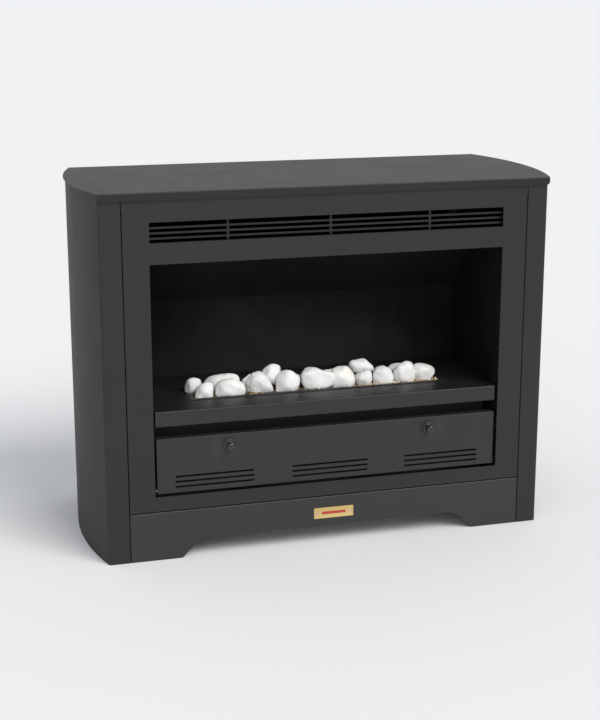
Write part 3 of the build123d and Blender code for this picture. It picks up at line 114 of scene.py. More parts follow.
# %% A material that builds its own nodes
class Finish:
    def __init__(self, name):
        self.material = bpy.data.materials.new(name)
        self.material.use_nodes = True
        self.tree = self.material.node_tree
        self.tree.nodes.clear()
        self.place = self.node("ShaderNodeTexCoord", output="Object")

    def node(self, kind, settings=None, sockets=None, output=0):
        made = self.tree.nodes.new(kind)
        for setting, value in (settings or {}).items():
            if setting == "stops":
                self.set_stops(made.color_ramp, value)
            else:
                setattr(made, setting, value)
        for socket, value in (sockets or {}).items():
            self.fill(made.inputs[socket], value)
        return Value(self, made.outputs[output])

    def set_stops(self, ramp, stops):
        for element, (position, shade) in zip(ramp.elements, stops):
            element.position = position
            element.color = (shade, shade, shade, 1.0)

    def fill(self, socket, value):
        if isinstance(value, Value):
            self.tree.links.new(value.socket, socket)
        elif isinstance(value, tuple) and len(value) == 3 and socket.type == "RGBA":
            socket.default_value = (*value, 1.0)
        else:
            socket.default_value = value

    def vector_maths(self, operation, *vectors, output="Vector"):
        return self.node("ShaderNodeVectorMath", {"operation": operation}, dict(enumerate(vectors)), output)

    def part(self, axis, vector=None):
        return self.node("ShaderNodeSeparateXYZ", {}, {"Vector": vector or self.place}, axis)

    def clouds(self, scale, detail=3.0, roughness=0.55):
        sockets = {"Vector": self.place, "Scale": scale, "Detail": detail, "Roughness": roughness}
        return self.node("ShaderNodeTexNoise", {}, sockets, output="Fac")

    def cells(self, scale, output="Color"):
        return self.node("ShaderNodeTexVoronoi", {}, {"Vector": self.place, "Scale": scale}, output)

    def between(self, value, low, high):
        return self.node("ShaderNodeValToRGB", {"stops": [(low, 0.0), (high, 1.0)]}, {"Fac": value})

    def blend(self, factor, first, second):
        return self.node("ShaderNodeMix", {"data_type": "RGBA"}, {0: factor, 6: first, 7: second}, output=2)

    def surface(self, height=None, depth=0.0, **sockets):
        named = {}
        for name, value in sockets.items():
            named[name.replace("_", " ").title().replace("Ior", "IOR")] = value
        if height is not None:
            named["Normal"] = self.node("ShaderNodeBump", {}, {"Distance": depth, "Height": height})
        shader = self.node("ShaderNodeBsdfPrincipled", {}, named)
        out = self.tree.nodes.new("ShaderNodeOutputMaterial")
        self.tree.links.new(shader.socket, out.inputs["Surface"])
        return self.material


# %% [markdown]
# ## Black paint on sheet steel
# The cabinet is sprayed with a satin black stoving paint. Seen straight on it is a dark neutral grey,
# and it pales towards grazing angles, which the shader does by itself. What makes it paint and not
# plastic is small: a pebbled skin about a millimetre across, a finer tooth in it, and faint patches
# where the spray lay thicker or a cloth has passed. A few places differ: the top face is painted paler
# and warm, for the dust that lies on it and as painted sheen for the light it catches at a grazing
# angle; the sides are duller behind their folds, and round each knob fingers have left the paint
# paler. The seam above the plinth is narrower than a pixel, so the paint beside it carries its
# painted shade and light: the fascia's lowest strip is painted shadow, black as a metal that mirrors
# nothing, for the depth of the seam, and the plinth's top edge is a painted highlight.

# %% Paint
def scaled(colour, share):
    return tuple(part * share for part in colour)


def paint(name, colour, roughness, specular=0.42, handled=(), change=None):
    finish = Finish(name)
    darker, lighter, dusted = (scaled(colour, share) for share in (0.82, 1.25, 1.9))
    drift = finish.clouds(5.0, detail=4.0)
    wiped = finish.between(finish.clouds(14.0, detail=5.0), 0.35, 0.7)
    skin = finish.clouds(900.0, detail=2.0)
    tooth = finish.clouds(2900.0, detail=1.0)
    speck = finish.between(tooth, 0.56, 0.75)
    shade = finish.blend(speck * 0.5, finish.blend(drift, darker, lighter), dusted)
    for place in handled:
        smear = (finish.clouds(26.0, detail=4.0) - 0.5) * 0.09
        away = finish.vector_maths("DISTANCE", finish.place, place, output="Value")
        touched = 1 - finish.between(away + smear, 0.006, 0.036)
        shade = finish.blend(touched * 0.55, shade, dusted)
    looks = {"base_color": shade, "roughness": roughness + wiped * 0.06 + skin * 0.06}
    if change:
        change(finish, looks)
    bumps = skin + tooth * 0.45
    return finish.surface(height=bumps, depth=0.00009, specular_ior_level=specular, **looks)


# %% Dust and painted sheen, folds, painted seam shadow and highlight
front_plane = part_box("front_fascia")[0].y / mm
top_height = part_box("top_plate")[1].z / mm
seam_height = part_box("plinth")[1].z / mm


def beyond(finish, axis, start, width=1.0):
    return finish.between((finish.part(axis) - start * mm) * (1.0 / (width * mm)), 0.0, 1.0)


def dust_and_sheen_on_top(finish, looks):
    # Dust and painted sheen: the top face is painted paler and warm, for its dust and for the light it
    # catches.
    thick = finish.between(finish.clouds(9.0, detail=5.0), 0.30, 0.72)
    dust_and_sheen = finish.blend(thick, (0.0420, 0.0385, 0.0318), (0.0500, 0.0460, 0.0378))
    looks["base_color"] = finish.blend(beyond(finish, "Z", top_height - 1.2), looks["base_color"], dust_and_sheen)


def duller_behind_fold(finish, looks):
    looks["roughness"] = looks["roughness"] + beyond(finish, "Y", front_plane + 1.5) * 0.14


def painted_seam_shadow(finish, looks):
    # Painted shadow: the fascia's lowest strip is near black and fully metallic, as the shade in the seam.
    edge = 1 - beyond(finish, "Z", seam_height + 1.7, 0.6)
    looks["base_color"] = finish.blend(edge, looks["base_color"], (0.0010, 0.0010, 0.0010))
    looks["metallic"] = edge


def painted_edge_highlight(finish, looks):
    # Painted highlight: the plinth's top edge is painted paler, as the light caught on the edge.
    edge = beyond(finish, "Z", seam_height - 2.0, 0.8)
    looks["base_color"] = finish.blend(edge, looks["base_color"], (0.050, 0.051, 0.053))


# %% The cabinet's blacks
sheet_colour = (0.0122, 0.0126, 0.0134)
knob_places = []
for side in ("left", "right"):
    low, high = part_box(f"{side}_pull_knob")
    knob_places.append(tuple((low + high) / 2))
cabinet_black = paint("cabinet black", sheet_colour, 0.42, change=painted_seam_shadow)
side_black = paint("side black", sheet_colour, 0.42, change=duller_behind_fold)
# The top plate's paint: its top face carries dust and a painted sheen.
dust_and_sheen_black = paint("dusty black", (0.0070, 0.0072, 0.0074), 0.45, change=dust_and_sheen_on_top)
lower_black = paint("lower black", (0.0225, 0.0230, 0.0242), 0.41, change=painted_edge_highlight)
flap_black = paint("flap black", (0.0175, 0.0181, 0.0193), 0.40, handled=knob_places)
grille_black = paint("grille black", (0.0095, 0.0095, 0.0095), 0.46)
shelf_black = paint("shelf black", (0.0120, 0.0118, 0.0112), 0.40, specular=0.5)
inner_black = paint("inner black", (0.0330, 0.0330, 0.0320), 0.50, specular=0.5)
print("eight satin blacks")

# %% [markdown]
# ## Heat-resistant black in the firebox
# The walls round the fire have a flat black paint that dulls with heat. It mirrors almost nothing, so
# the shader's specular level is turned down. A wide soft patch low behind the stones is painted paler:
# partly where the flames lick the back wall and the paint has chalked, and partly as painted light,
# the soft pool of light on the wall near the stones. The distance from its middle, stretched on each
# axis, says how far it has faded. Above it soot and heat have left slow olive swirls.

# %% Firebox paint
def firebox_paint(patch_middle, patch_fading):
    finish = Finish("firebox black")
    from_patch = finish.vector_maths("SUBTRACT", finish.place, patch_middle)
    stretched = finish.vector_maths("MULTIPLY", from_patch, patch_fading)
    distance = finish.vector_maths("LENGTH", stretched, output="Value")
    streaks = finish.clouds(7.0, detail=6.0, roughness=0.62)
    patch = 1 - finish.between(distance + (streaks - 0.5) * 0.9, 0.25, 1.0)
    swirl = finish.between(finish.clouds(4.2, detail=5.0, roughness=0.7), 0.38, 0.62)
    sooty = finish.blend(swirl, (0.0026, 0.0026, 0.0018), (0.0082, 0.0082, 0.0064))
    # Painted light and chalk: the patch's paler colour, where the back wall is lit and heat-chalked.
    chalky_and_lit = (0.0245, 0.0254, 0.0252)
    return finish.surface(
        base_color=finish.blend(patch * (0.6 + swirl * 0.4), sooty, chalky_and_lit),
        roughness=0.74 + streaks * 0.12,
        specular_ior_level=0.22,
        height=finish.clouds(1300.0, detail=2.0),
        depth=0.00007,
    )


firebox_black = firebox_paint(patch_middle=(-0.03, 0.03, 0.284), patch_fading=(3.0, 4.0, 7.2))
print("one flat black")

# %% [markdown]
# ## Metals
# The sheet that never shows is galvanised, and zinc cools into flat crystals that each mirror in their
# own direction. Voronoi cells give that spangle. The other metals are a plain colour with a stain and
# a mottled roughness, because a metal shows its surface in how it blurs the room.

# %% Galvanised sheet
def galvanised():
    finish = Finish("galvanised sheet")
    spangle = finish.part("X", finish.cells(85.0))
    dull = finish.clouds(40.0, detail=4.0)
    return finish.surface(
        base_color=finish.blend(spangle, (0.36, 0.37, 0.38), (0.56, 0.57, 0.58)),
        metallic=0.9,
        roughness=0.34 + spangle * 0.16 + dull * 0.1,
        height=finish.clouds(600.0, detail=2.0),
        depth=0.00003,
    )


# %% Solid metals
def metal(name, colour, stain, roughness, grain_scale=500.0, grain_depth=0.00003):
    finish = Finish(name)
    mottle = finish.between(finish.clouds(grain_scale * 0.12, detail=5.0), 0.3, 0.75)
    return finish.surface(
        base_color=finish.blend(mottle, colour, stain),
        metallic=1.0,
        roughness=roughness + mottle * 0.12,
        height=finish.clouds(grain_scale, detail=3.0),
        depth=grain_depth,
    )


zinc_sheet = galvanised()
zinc_screw = metal("zinc-plated screw", (0.62, 0.62, 0.60), (0.50, 0.49, 0.45), 0.26)
black_screw = metal("blackened screw", (0.055, 0.055, 0.055), (0.035, 0.034, 0.033), 0.34)
pan_steel = metal("pan steel", (0.060, 0.058, 0.055), (0.11, 0.095, 0.08), 0.46, 350.0)
badge_brass = metal("badge brass", (0.83, 0.62, 0.27), (0.74, 0.53, 0.22), 0.27, 900.0, 0.00001)
turned_brass = metal("turned brass", (0.76, 0.56, 0.27), (0.62, 0.44, 0.22), 0.24)
copper = metal("copper pipe", (0.72, 0.38, 0.26), (0.48, 0.24, 0.17), 0.28)
aluminised = metal("aluminised tube", (0.55, 0.55, 0.54), (0.44, 0.44, 0.43), 0.42)
cast_alloy = metal("cast alloy", (0.50, 0.50, 0.50), (0.40, 0.40, 0.40), 0.46, 800.0, 0.00012)
bright_steel = metal("bright steel", (0.58, 0.58, 0.57), (0.50, 0.50, 0.49), 0.22)
dial_alloy = metal("dial aluminium", (0.66, 0.66, 0.66), (0.60, 0.60, 0.60), 0.34, 1500.0, 0.00001)
print("eleven metals")

# %% [markdown]
# ## Enamel, plastic and ceramic
# The pull knobs are dipped in black enamel that holds a soft highlight. The gas knob and the button are
# moulded plastic with a fine spark-eroded skin. The electrode's insulator is glazed white ceramic, and
# its lead is sleeved in silicone.

# %% Smooth coatings
def coated(name, colour, roughness, skin_scale, skin_depth, coat=0.0):
    finish = Finish(name)
    drift = finish.clouds(60.0, detail=3.0)
    return finish.surface(
        base_color=finish.blend(drift, colour, scaled(colour, 0.86)),
        roughness=roughness + drift * 0.05,
        coat_weight=coat,
        coat_roughness=0.06,
        height=finish.clouds(skin_scale, detail=2.0),
        depth=skin_depth,
    )


knob_enamel = coated("knob enamel", (0.0160, 0.0160, 0.0165), 0.27, 260.0, 0.00002, coat=0.3)
knob_plastic = coated("knob plastic", (0.016, 0.016, 0.016), 0.42, 2400.0, 0.00003)
white_ceramic = coated("white ceramic", (0.80, 0.79, 0.75), 0.18, 300.0, 0.00002, coat=0.4)
lead_silicone = coated("lead silicone", (0.36, 0.045, 0.030), 0.50, 900.0, 0.00003)
magnet_case = coated("magnet case", (0.030, 0.030, 0.030), 0.44, 1200.0, 0.00003)
pointer_white = coated("pointer white", (0.70, 0.69, 0.65), 0.44, 1200.0, 0.00003)
print_black = coated("dial print", (0.020, 0.020, 0.020), 0.50, 900.0, 0.00001)
red_enamel = coated("red enamel", (0.46, 0.035, 0.020), 0.22, 400.0, 0.00001, coat=0.4)
print("eight coatings")

# %% [markdown]
# ## Stone
# The pebbles are tumbled white marble. They are nearly white, with cooler veins, faint warm stains, a
# few dark specks and a chalky skin that is rough to the eye but not to the hand. The granules are
# chips of gold and white mineral, and each chip carries its own tint in an attribute of its faces.

# %% Pebble marble
def marble():
    finish = Finish("white marble")
    vein = finish.between(finish.clouds(26.0, detail=6.0, roughness=0.6), 0.42, 0.66)
    stain = finish.between(finish.clouds(17.0, detail=3.0), 0.55, 0.70)
    speck = finish.between(finish.clouds(800.0, detail=2.0), 0.70, 0.80)
    body = finish.blend(vein, (0.89, 0.885, 0.87), (0.79, 0.793, 0.80))
    warmed = finish.blend(stain * 0.42, body, (0.87, 0.76, 0.62))
    dents = finish.clouds(120.0, detail=4.0, roughness=0.5)
    pits = finish.clouds(520.0, detail=4.0, roughness=0.6)
    return finish.surface(
        base_color=finish.blend(speck * 0.25, warmed, (0.62, 0.59, 0.55)),
        roughness=0.50 + vein * 0.12,
        height=dents + pits * 0.4,
        depth=0.0011,
    )


# %% Mineral chips and the bed under them
def chips():
    finish = Finish("mineral chips")
    tint = finish.node("ShaderNodeAttribute", {"attribute_name": "tint"}, output="Fac")
    golden = finish.blend(finish.between(tint, 0.0, 0.5), (0.30, 0.17, 0.055), (0.78, 0.50, 0.15))
    return finish.surface(
        base_color=finish.blend(finish.between(tint, 0.55, 0.75), golden, (0.84, 0.82, 0.76)),
        roughness=0.42,
        height=finish.clouds(900.0, detail=3.0),
        depth=0.00012,
    )


def granule_bed():
    finish = Finish("granule bed")
    chip = finish.part("X", finish.cells(330.0))
    gap = finish.cells(330.0, output="Distance")
    body = finish.blend(finish.between(chip, 0.2, 0.9), (0.030, 0.026, 0.020), (0.16, 0.115, 0.055))
    return finish.surface(
        base_color=finish.blend(finish.between(chip, 0.90, 0.95), body, (0.55, 0.46, 0.32)),
        roughness=0.75,
        height=1 - gap,
        depth=0.0012,
    )


marble_white = marble()
mineral_chips = chips()
bed_granules = granule_bed()
print("three kinds of stone")

# %% [markdown]
# ## Dress the CAD nodes
# Each node gets its finish from this table, by what the piece is made of. A node that is missing from
# it would stay plain, so the cell prints any that are left over.

# %% Finish for each node
node_finishes = {
    cabinet_black: "front_fascia",
    side_black: "left_side_panel right_side_panel",
    dust_and_sheen_black: "top_plate",
    lower_black: "plinth",
    grille_black: "top_grille",
    flap_black: "control_flap",
    shelf_black: "burner_shelf burner_pan",
    firebox_black: "left_liner right_liner firebox_back firebox_roof front_top_rail heat_shield"
    " heat_baffle liner_clips left_shelf_rail right_shelf_rail hinge_brackets",
    inner_black: "control_panel",
    pan_steel: "port_plate",
    zinc_sheet: "rear_top_rail base_plate rear_panel injector_bracket pilot_bracket inlet_bracket",
    zinc_screw: "top_plate_nuts rear_panel_screws hinge_pins pull_screws badge_rivets",
    black_screw: "front_panel_screws liner_screws",
    badge_brass: "badge_plate",
    marble_white: "pebbles",
    bed_granules: "ember_bed",
    aluminised: "mixer_tube",
    turned_brass: "injector gas_inlet valve_rotor pilot_burner",
    cast_alloy: "gas_valve",
    bright_steel: "valve_spindle flame_probe",
    knob_plastic: "valve_knob piezo_igniter piezo_button",
    dial_alloy: "dial_plate",
    white_ceramic: "spark_electrode",
    copper: "supply_pipe burner_pipe pilot_pipe probe_lead",
    lead_silicone: "spark_lead",
    magnet_case: "magnet_catches",
    knob_enamel: "left_pull_knob right_pull_knob",
}
dressed = set()
for material, names in node_finishes.items():
    for name in names.split():
        nodes[name].data.materials.clear()
        nodes[name].data.materials.append(material)
        dressed.add(name)
print("nodes left plain:", sorted(set(nodes) - dressed))

# %% [markdown]
# ## Helpers for new pieces
# A new piece is modelled where it belongs, in metres, so its object can stay at the origin. `finished`
# turns a bmesh into such an object, gives it its material and lets it ride on its body. `turned` is
# the lathe: a profile of radius and distance is spun once round an axis and closed where it starts.
# `connected` gathers all that hangs on one vertex, which tells a shell from others in the same bmesh.

# %% Finish a piece
def finished(bm, name, material, body, smooth_angle=35.0):
    mesh = bpy.data.meshes.new(name)
    bm.to_mesh(mesh)
    bm.free()
    mesh.materials.append(material)
    mesh.shade_smooth()
    mesh.set_sharp_from_angle(angle=math.radians(smooth_angle))
    piece = bpy.data.objects.new(name, mesh)
    bpy.context.scene.collection.objects.link(piece)
    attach(piece, body)
    return piece


# %% Find a shell and the middle of a box
def connected(vert):
    found = {vert}
    waiting = [vert]
    while waiting:
        vert = waiting.pop()
        for edge in vert.link_edges:
            other = edge.other_vert(vert)
            if other not in found:
                found.add(other)
                waiting.append(other)
    return found


def middle_at(low, high, y):
    return Vector(((low.x + high.x) / 2, y, (low.z + high.z) / 2))


# %% Turn a profile on the lathe
def in_metres(profile):
    return [(radius * mm, along * mm) for radius, along in profile]


def turned(bm, profile, place, direction, steps=48):
    outline = [bm.verts.new((radius, 0.0, along)) for radius, along in profile]
    edges = [bm.edges.new(pair) for pair in zip(outline, outline[1:])]
    bmesh.ops.spin(
        bm,
        geom=outline + edges,
        cent=(0, 0, 0),
        axis=(0, 0, 1),
        angle=math.tau,
        steps=steps,
        use_merge=True,
    )
    shell = list(connected(outline[0]))
    bmesh.ops.remove_doubles(bm, verts=shell, dist=1e-6)
    shell = [vert for vert in shell if vert.is_valid]
    faces = list({face for vert in shell for face in vert.link_faces})
    bmesh.ops.recalc_face_normals(bm, faces=faces)
    turn = Vector((0, 0, 1)).rotation_difference(Vector(direction)).to_matrix()
    bmesh.ops.rotate(bm, verts=shell, cent=(0, 0, 0), matrix=turn)
    bmesh.ops.translate(bm, verts=shell, vec=Vector(place))


# %% [markdown]
# ## The white stones
# Each stone is drawn by its outline, as the camera sees it: sixteen reaches from its middle, turning
# left from its right-hand side, with a smooth curve through them. They are whole millimetres, which is
# as fine as the photograph shows. A fine icosphere is stretched out to that outline and squared a
# little in depth. A few flats are pressed into its near side, the edges between them are smoothed,
# and slow noise makes every side a little hollow.

# %% Where each stone lies and how far it reaches
stones = [
    # across, depth from the cabinet's front, height of its middle, thickness, sixteen reaches
    (-224.5, 114, 277.5, 27, (13, 17, 18, 16, 16, 16, 15, 14, 15, 17, 19, 17, 14, 12, 11, 11)),
    (-210.5, 81.5, 274, 27, (16, 17, 20, 20, 18, 17, 16, 15, 16, 18, 23, 19, 18, 18, 21, 17)),
    (-172, 112, 281, 28, (34, 32, 25, 18, 16, 16, 20, 27, 34, 31, 23, 18, 16, 17, 20, 27)),
    (-163.5, 81, 277.5, 32, (29, 26, 21, 20, 18, 20, 22, 26, 29, 29, 26, 19, 16, 16, 20, 27)),
    (-124.5, 113, 280.5, 18, (12, 13, 15, 14, 10, 8, 8, 9, 11, 13, 14, 14, 14, 12, 11, 12)),
    (-105, 97.5, 278, 34, (22, 19, 18, 20, 23, 23, 24, 24, 24, 26, 29, 24, 23, 24, 30, 26)),
    (-80, 114, 289, 24, (17, 19, 22, 21, 19, 17, 17, 18, 16, 12, 11, 12, 16, 20, 16, 15)),
    (-56, 87, 280.5, 34, (22, 22, 21, 22, 22, 23, 22, 22, 22, 24, 27, 24, 21, 22, 23, 23)),
    (-28.5, 112, 279.5, 18, (7, 6, 6, 6, 6, 8, 8, 7, 8, 7, 7, 8, 7, 8, 7, 7)),
    (3, 91, 281, 38, (33, 28, 22, 18, 19, 24, 30, 33, 33, 31, 30, 24, 22, 22, 25, 30)),
    (31, 114, 285, 18, (15, 13, 10, 7, 6, 6, 8, 11, 14, 12, 8, 7, 7, 8, 8, 10)),
    (48, 85, 280, 34, (22, 22, 22, 22, 24, 25, 26, 24, 22, 22, 27, 26, 24, 26, 26, 23)),
    (92, 113, 293, 24, (21, 16, 15, 15, 14, 14, 16, 22, 25, 24, 19, 15, 13, 13, 15, 26)),
    (90, 92, 275, 28, (16, 17, 19, 16, 13, 13, 14, 17, 16, 16, 17, 16, 15, 16, 16, 16)),
    (127, 89.5, 276.5, 32, (20, 19, 19, 18, 19, 20, 20, 20, 20, 21, 24, 21, 19, 20, 24, 21)),
    (131, 114, 280, 18, (11, 12, 12, 11, 10, 10, 11, 12, 12, 12, 11, 10, 10, 10, 11, 11)),
    (158, 112, 285.5, 20, (14, 16, 12, 9, 8, 8, 9, 11, 14, 14, 11, 9, 9, 8, 9, 11)),
    (167, 88, 282, 34, (20, 20, 22, 23, 20, 18, 19, 18, 20, 21, 22, 22, 22, 24, 26, 22)),
    (207.5, 94.5, 276.5, 36, (22, 22, 19, 17, 17, 19, 24, 23, 22, 22, 22, 19, 17, 17, 19, 19)),
]
print(len(stones), "stones, the widest", max(row[4][0] + row[4][8] for row in stones), "mm")


# %% Stretch a ball to an outline
squareness = 0.80


def reach_towards(reaches, angle):
    share = angle / math.tau * len(reaches)
    first = math.floor(share)
    part = share - first
    before, start, end, after = (reaches[(first + step) % len(reaches)] for step in (-1, 0, 1, 2))
    bend = 2 * before - 5 * start + 4 * end - after + part * (3 * (start - end) + after - before)
    return start + 0.5 * part * (end - before + part * bend)


def stretch_to_outline(verts, thickness, reaches):
    for vert in verts:
        right, up, near = vert.co
        flat = math.hypot(right, up)
        reach = 0.0
        if flat > 1e-6:
            reach = reach_towards(reaches, math.atan2(up, right)) * flat ** (squareness - 1)
        bulge = math.copysign(abs(near) ** squareness, near) * thickness / 2
        vert.co = Vector((right * reach, up * reach, bulge)) * mm


# %% Press, smooth and roughen a stone
def press(verts, direction, share, flatness=0.9):
    limit = share * max(vert.co.dot(direction) for vert in verts)
    for vert in verts:
        over = vert.co.dot(direction) - limit
        if over > 0:
            vert.co -= direction * over * flatness


def smooth(bm, verts, rounds):
    for _ in range(rounds):
        bmesh.ops.smooth_vert(
            bm, verts=verts, factor=0.5, use_axis_x=True, use_axis_y=True, use_axis_z=True
        )


def roughen(verts, seed, hollows, pits):
    start = Vector((seed * 7.3, seed * 3.1, seed * 1.7))
    for vert in verts:
        swell = hollows * noise.noise(vert.co * 70.0 + start) + pits * noise.noise(vert.co * 260.0 + start)
        vert.co *= 1.0 + swell


# %% Make the stones
stone_draw = random.Random(19)
flats_each = 5
camera_axes = camera.rotation_euler.to_matrix()
bm = bmesh.new()
for number, (across, depth, height, thickness, reaches) in enumerate(stones):
    ball = bmesh.ops.create_icosphere(bm, subdivisions=5, radius=1.0)["verts"]
    stretch_to_outline(ball, thickness, reaches)
    for _ in range(flats_each):
        lean = Vector((stone_draw.uniform(-1.3, 1.3), stone_draw.uniform(-0.9, 1.4), 1.0))
        press(ball, lean.normalized(), stone_draw.uniform(0.78, 0.92))
    smooth(bm, ball, rounds=8)
    roughen(ball, number, hollows=0.08, pits=0.022)
    middle = Vector((across, front_plane + depth, height)) * mm
    bmesh.ops.transform(bm, verts=ball, matrix=Matrix.Translation(middle) @ camera_axes.to_4x4())
white_stones = finished(bm, "white_stones", marble_white, "cabinet", smooth_angle=180.0)
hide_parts("pebbles")
print("white stones with", len(white_stones.data.polygons), "faces")

# %% [markdown]
# ## Loose granules
# Between the stones and along the rim of the pan lie gold and white chips, thickest on the right. There
# are hundreds, so each is an icosphere of twenty faces, pulled out of true by a random stretch.
# Instancing would be lighter, but one mesh exports as one piece and carries the tint of every face.

# %% Where the granules lie
bed_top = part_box("ember_bed")[1].z / mm
covered_share = 0.38
granule_rows = [
    # from, to, nearest depth, farthest depth, how many, share of white chips
    (78.0, 229.0, 68.0, 80.0, 230, 0.30),
    (-40.0, 78.0, 68.0, 78.0, 16, 0.50),
    (-140.0, -84.0, 68.0, 78.0, 20, 0.50),
    (-231.0, -140.0, 68.0, 78.0, 7, 0.60),
    (-230.0, 78.0, 80.0, 130.0, 70, 0.30),
    (78.0, 230.0, 80.0, 130.0, 120, 0.30),
]


def is_covered(across, depth):
    for stone_across, stone_depth, _, thickness, reaches in stones:
        half_width = covered_share * (reaches[0] + reaches[8])
        half_depth = covered_share * thickness
        if ((across - stone_across) / half_width) ** 2 + ((depth - stone_depth) / half_depth) ** 2 < 1.0:
            return True
    return False


# %% Scatter the granules
granule_draw = random.Random(5)
tumble_axis = Vector((0.4, 0.5, 0.77))
bm = bmesh.new()
tint = bm.faces.layers.float.new("tint")
for start, stop, nearest, farthest, count, white_share in granule_rows:
    for _ in range(count):
        across = granule_draw.uniform(start, stop)
        depth = granule_draw.uniform(nearest, farthest)
        size = granule_draw.uniform(0.9, 2.1)
        shade = granule_draw.uniform(0.8, 1.0)
        if granule_draw.random() > white_share:
            shade = granule_draw.uniform(0.0, 0.5)
        stretch = [granule_draw.uniform(0.65, 1.15) for _ in range(3)]
        angle = granule_draw.uniform(0.0, math.tau)
        if is_covered(across, depth):
            continue
        chip = bmesh.ops.create_icosphere(bm, subdivisions=1, radius=size * mm)["verts"]
        bmesh.ops.scale(bm, verts=chip, vec=stretch)
        turn = Matrix.Rotation(angle, 3, tumble_axis)
        bmesh.ops.rotate(bm, verts=chip, cent=(0, 0, 0), matrix=turn)
        place = Vector((across, front_plane + depth, bed_top + size * 0.55)) * mm
        bmesh.ops.translate(bm, verts=chip, vec=place)
        for face in {face for vert in chip for face in vert.link_faces}:
            face[tint] = shade
loose_granules = finished(
    bm, "loose_granules", mineral_chips, "cabinet", smooth_angle=10.0
)
faces_each = 20
print(len(loose_granules.data.polygons) // faces_each, "granules")

# %% [markdown]
# ## Pull knobs
# Each knob on the flap is a turned steel button: a stepped foot, a thin neck and a rounded head with a
# dimple from the lathe's centre. A spun profile gives all of it, with enough rings on the edges for
# the small highlights that set the knob apart from the black flap.

# %% Turn the pull knobs
pull_profile = [
    (0.0, 0.0), (10.5, 0.0), (10.5, 1.5), (10.2, 2.2), (9.5, 2.5), (7.2, 2.5), (6.2, 2.8),
    (5.6, 3.6), (5.5, 5.0), (5.5, 8.2), (5.9, 9.2), (6.8, 9.8), (7.9, 10.5), (8.4, 11.6),
    (8.6, 13.0), (8.6, 16.2), (8.3, 17.7), (7.5, 18.9), (6.2, 19.7), (4.6, 20.0), (2.4, 20.0),
    (1.8, 19.9), (1.2, 19.7), (0.0, 19.6),
]
for side in ("left", "right"):
    low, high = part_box(f"{side}_pull_knob")
    bm = bmesh.new()
    turned(bm, in_metres(pull_profile), middle_at(low, high, high.y), (0, -1, 0))
    knob = finished(bm, f"{side}_turned_knob", knob_enamel, "control_flap", smooth_angle=50.0)
    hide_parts(f"{side}_pull_knob")
print("two pull knobs,", max(along for _, along in pull_profile), "mm long")

# %% [markdown]
# ## Gas knob and dial
# Behind the flap the gas knob turns over a printed dial. The knob is spun, then every third face of
# its grip is inset and pushed in, so fingers find ribs. A white line shows where it points, and half
# a ring of plain strokes on the dial grows longer as the flame does.

# %% Ribbed gas knob
low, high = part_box("valve_knob")
knob_middle = middle_at(low, high, high.y)
knob_reach = (high.y - low.y) / mm
grip_start, grip_end = 6.0, knob_reach - 2.0
knob_profile = [
    (0.0, 0.0), (19.2, 0.0), (20.0, 0.8), (20.0, 3.2), (19.0, 4.2), (15.2, 4.8), (14.0, grip_start),
    (13.6, grip_end), (12.8, knob_reach - 0.7), (11.4, knob_reach), (0.0, knob_reach),
]
groove_margin, groove_depth = 0.25, 0.7
bm = bmesh.new()
turned(bm, in_metres(knob_profile), (0, 0, 0), (0, 0, 1), steps=60)
grip = [face for face in bm.faces if grip_start * mm < face.calc_center_median().z < grip_end * mm]
grip.sort(key=lambda face: math.atan2(face.calc_center_median().y, face.calc_center_median().x))
grooves = grip[::3]
bmesh.ops.inset_individual(bm, faces=grooves, thickness=groove_margin * mm, depth=-groove_depth * mm)
bmesh.ops.rotate(bm, verts=bm.verts, cent=(0, 0, 0), matrix=Matrix.Rotation(math.pi / 2, 3, "X"))
bmesh.ops.translate(bm, verts=bm.verts, vec=knob_middle)
gas_knob = finished(bm, "gas_knob", knob_plastic, "valve_control")
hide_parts("valve_knob")
print("knob with", len(grooves), "grooves")


# %% Pointer on the knob
def strip(bm, width, length, thickness, turn, place):
    bar = bmesh.ops.create_cube(bm, size=1.0)["verts"]
    bmesh.ops.scale(bm, verts=bar, vec=(width * mm, thickness * mm, length * mm))
    bmesh.ops.rotate(bm, verts=bar, cent=(0, 0, 0), matrix=Matrix.Rotation(turn, 3, "Y"))
    bmesh.ops.translate(bm, verts=bar, vec=place)


pointer_sink = 0.1
pointer_height = 6.5
bm = bmesh.new()
pointer_place = knob_middle + Vector((0.0, pointer_sink - knob_reach, pointer_height)) * mm
strip(bm, width=1.6, length=8.0, thickness=0.4, turn=0.0, place=pointer_place)
finished(bm, "knob_pointer", pointer_white, "valve_control")
print("pointer", pointer_height, "mm from the knob's axis")

# %% Strokes on the dial
low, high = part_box("dial_plate")
dial_middle = Vector((knob_middle.x, low.y, knob_middle.z))
dial_radius = min(high.x - knob_middle.x, high.z - knob_middle.z) / mm
stroke_count = 13
shortest_stroke, longest_stroke = 1.4, 3.6
stroke_inset = 2.6
bm = bmesh.new()
for stroke in range(stroke_count):
    share = stroke / (stroke_count - 1)
    length = shortest_stroke + (longest_stroke - shortest_stroke) * share
    outward = Vector((math.sin(math.pi * share), 0.0, math.cos(math.pi * share)))
    place = dial_middle + outward * (dial_radius - stroke_inset) * mm
    strip(bm, width=0.7, length=length, thickness=0.06, turn=math.pi * share, place=place)
finished(bm, "dial_strokes", print_black, "cabinet")
print("dial radius", round(dial_radius, 1), "mm")

# %% [markdown]
# ## Screws with a cross recess
# The CAD screws have plain heads. A real pan head is a low dome with a cross punched into it, so one
# is spun, a Boolean modifier cuts the cross, and the result is copied to the place of each CAD screw.
# Those places are read from the CAD node itself: its triangles are merged, and each island is a screw.

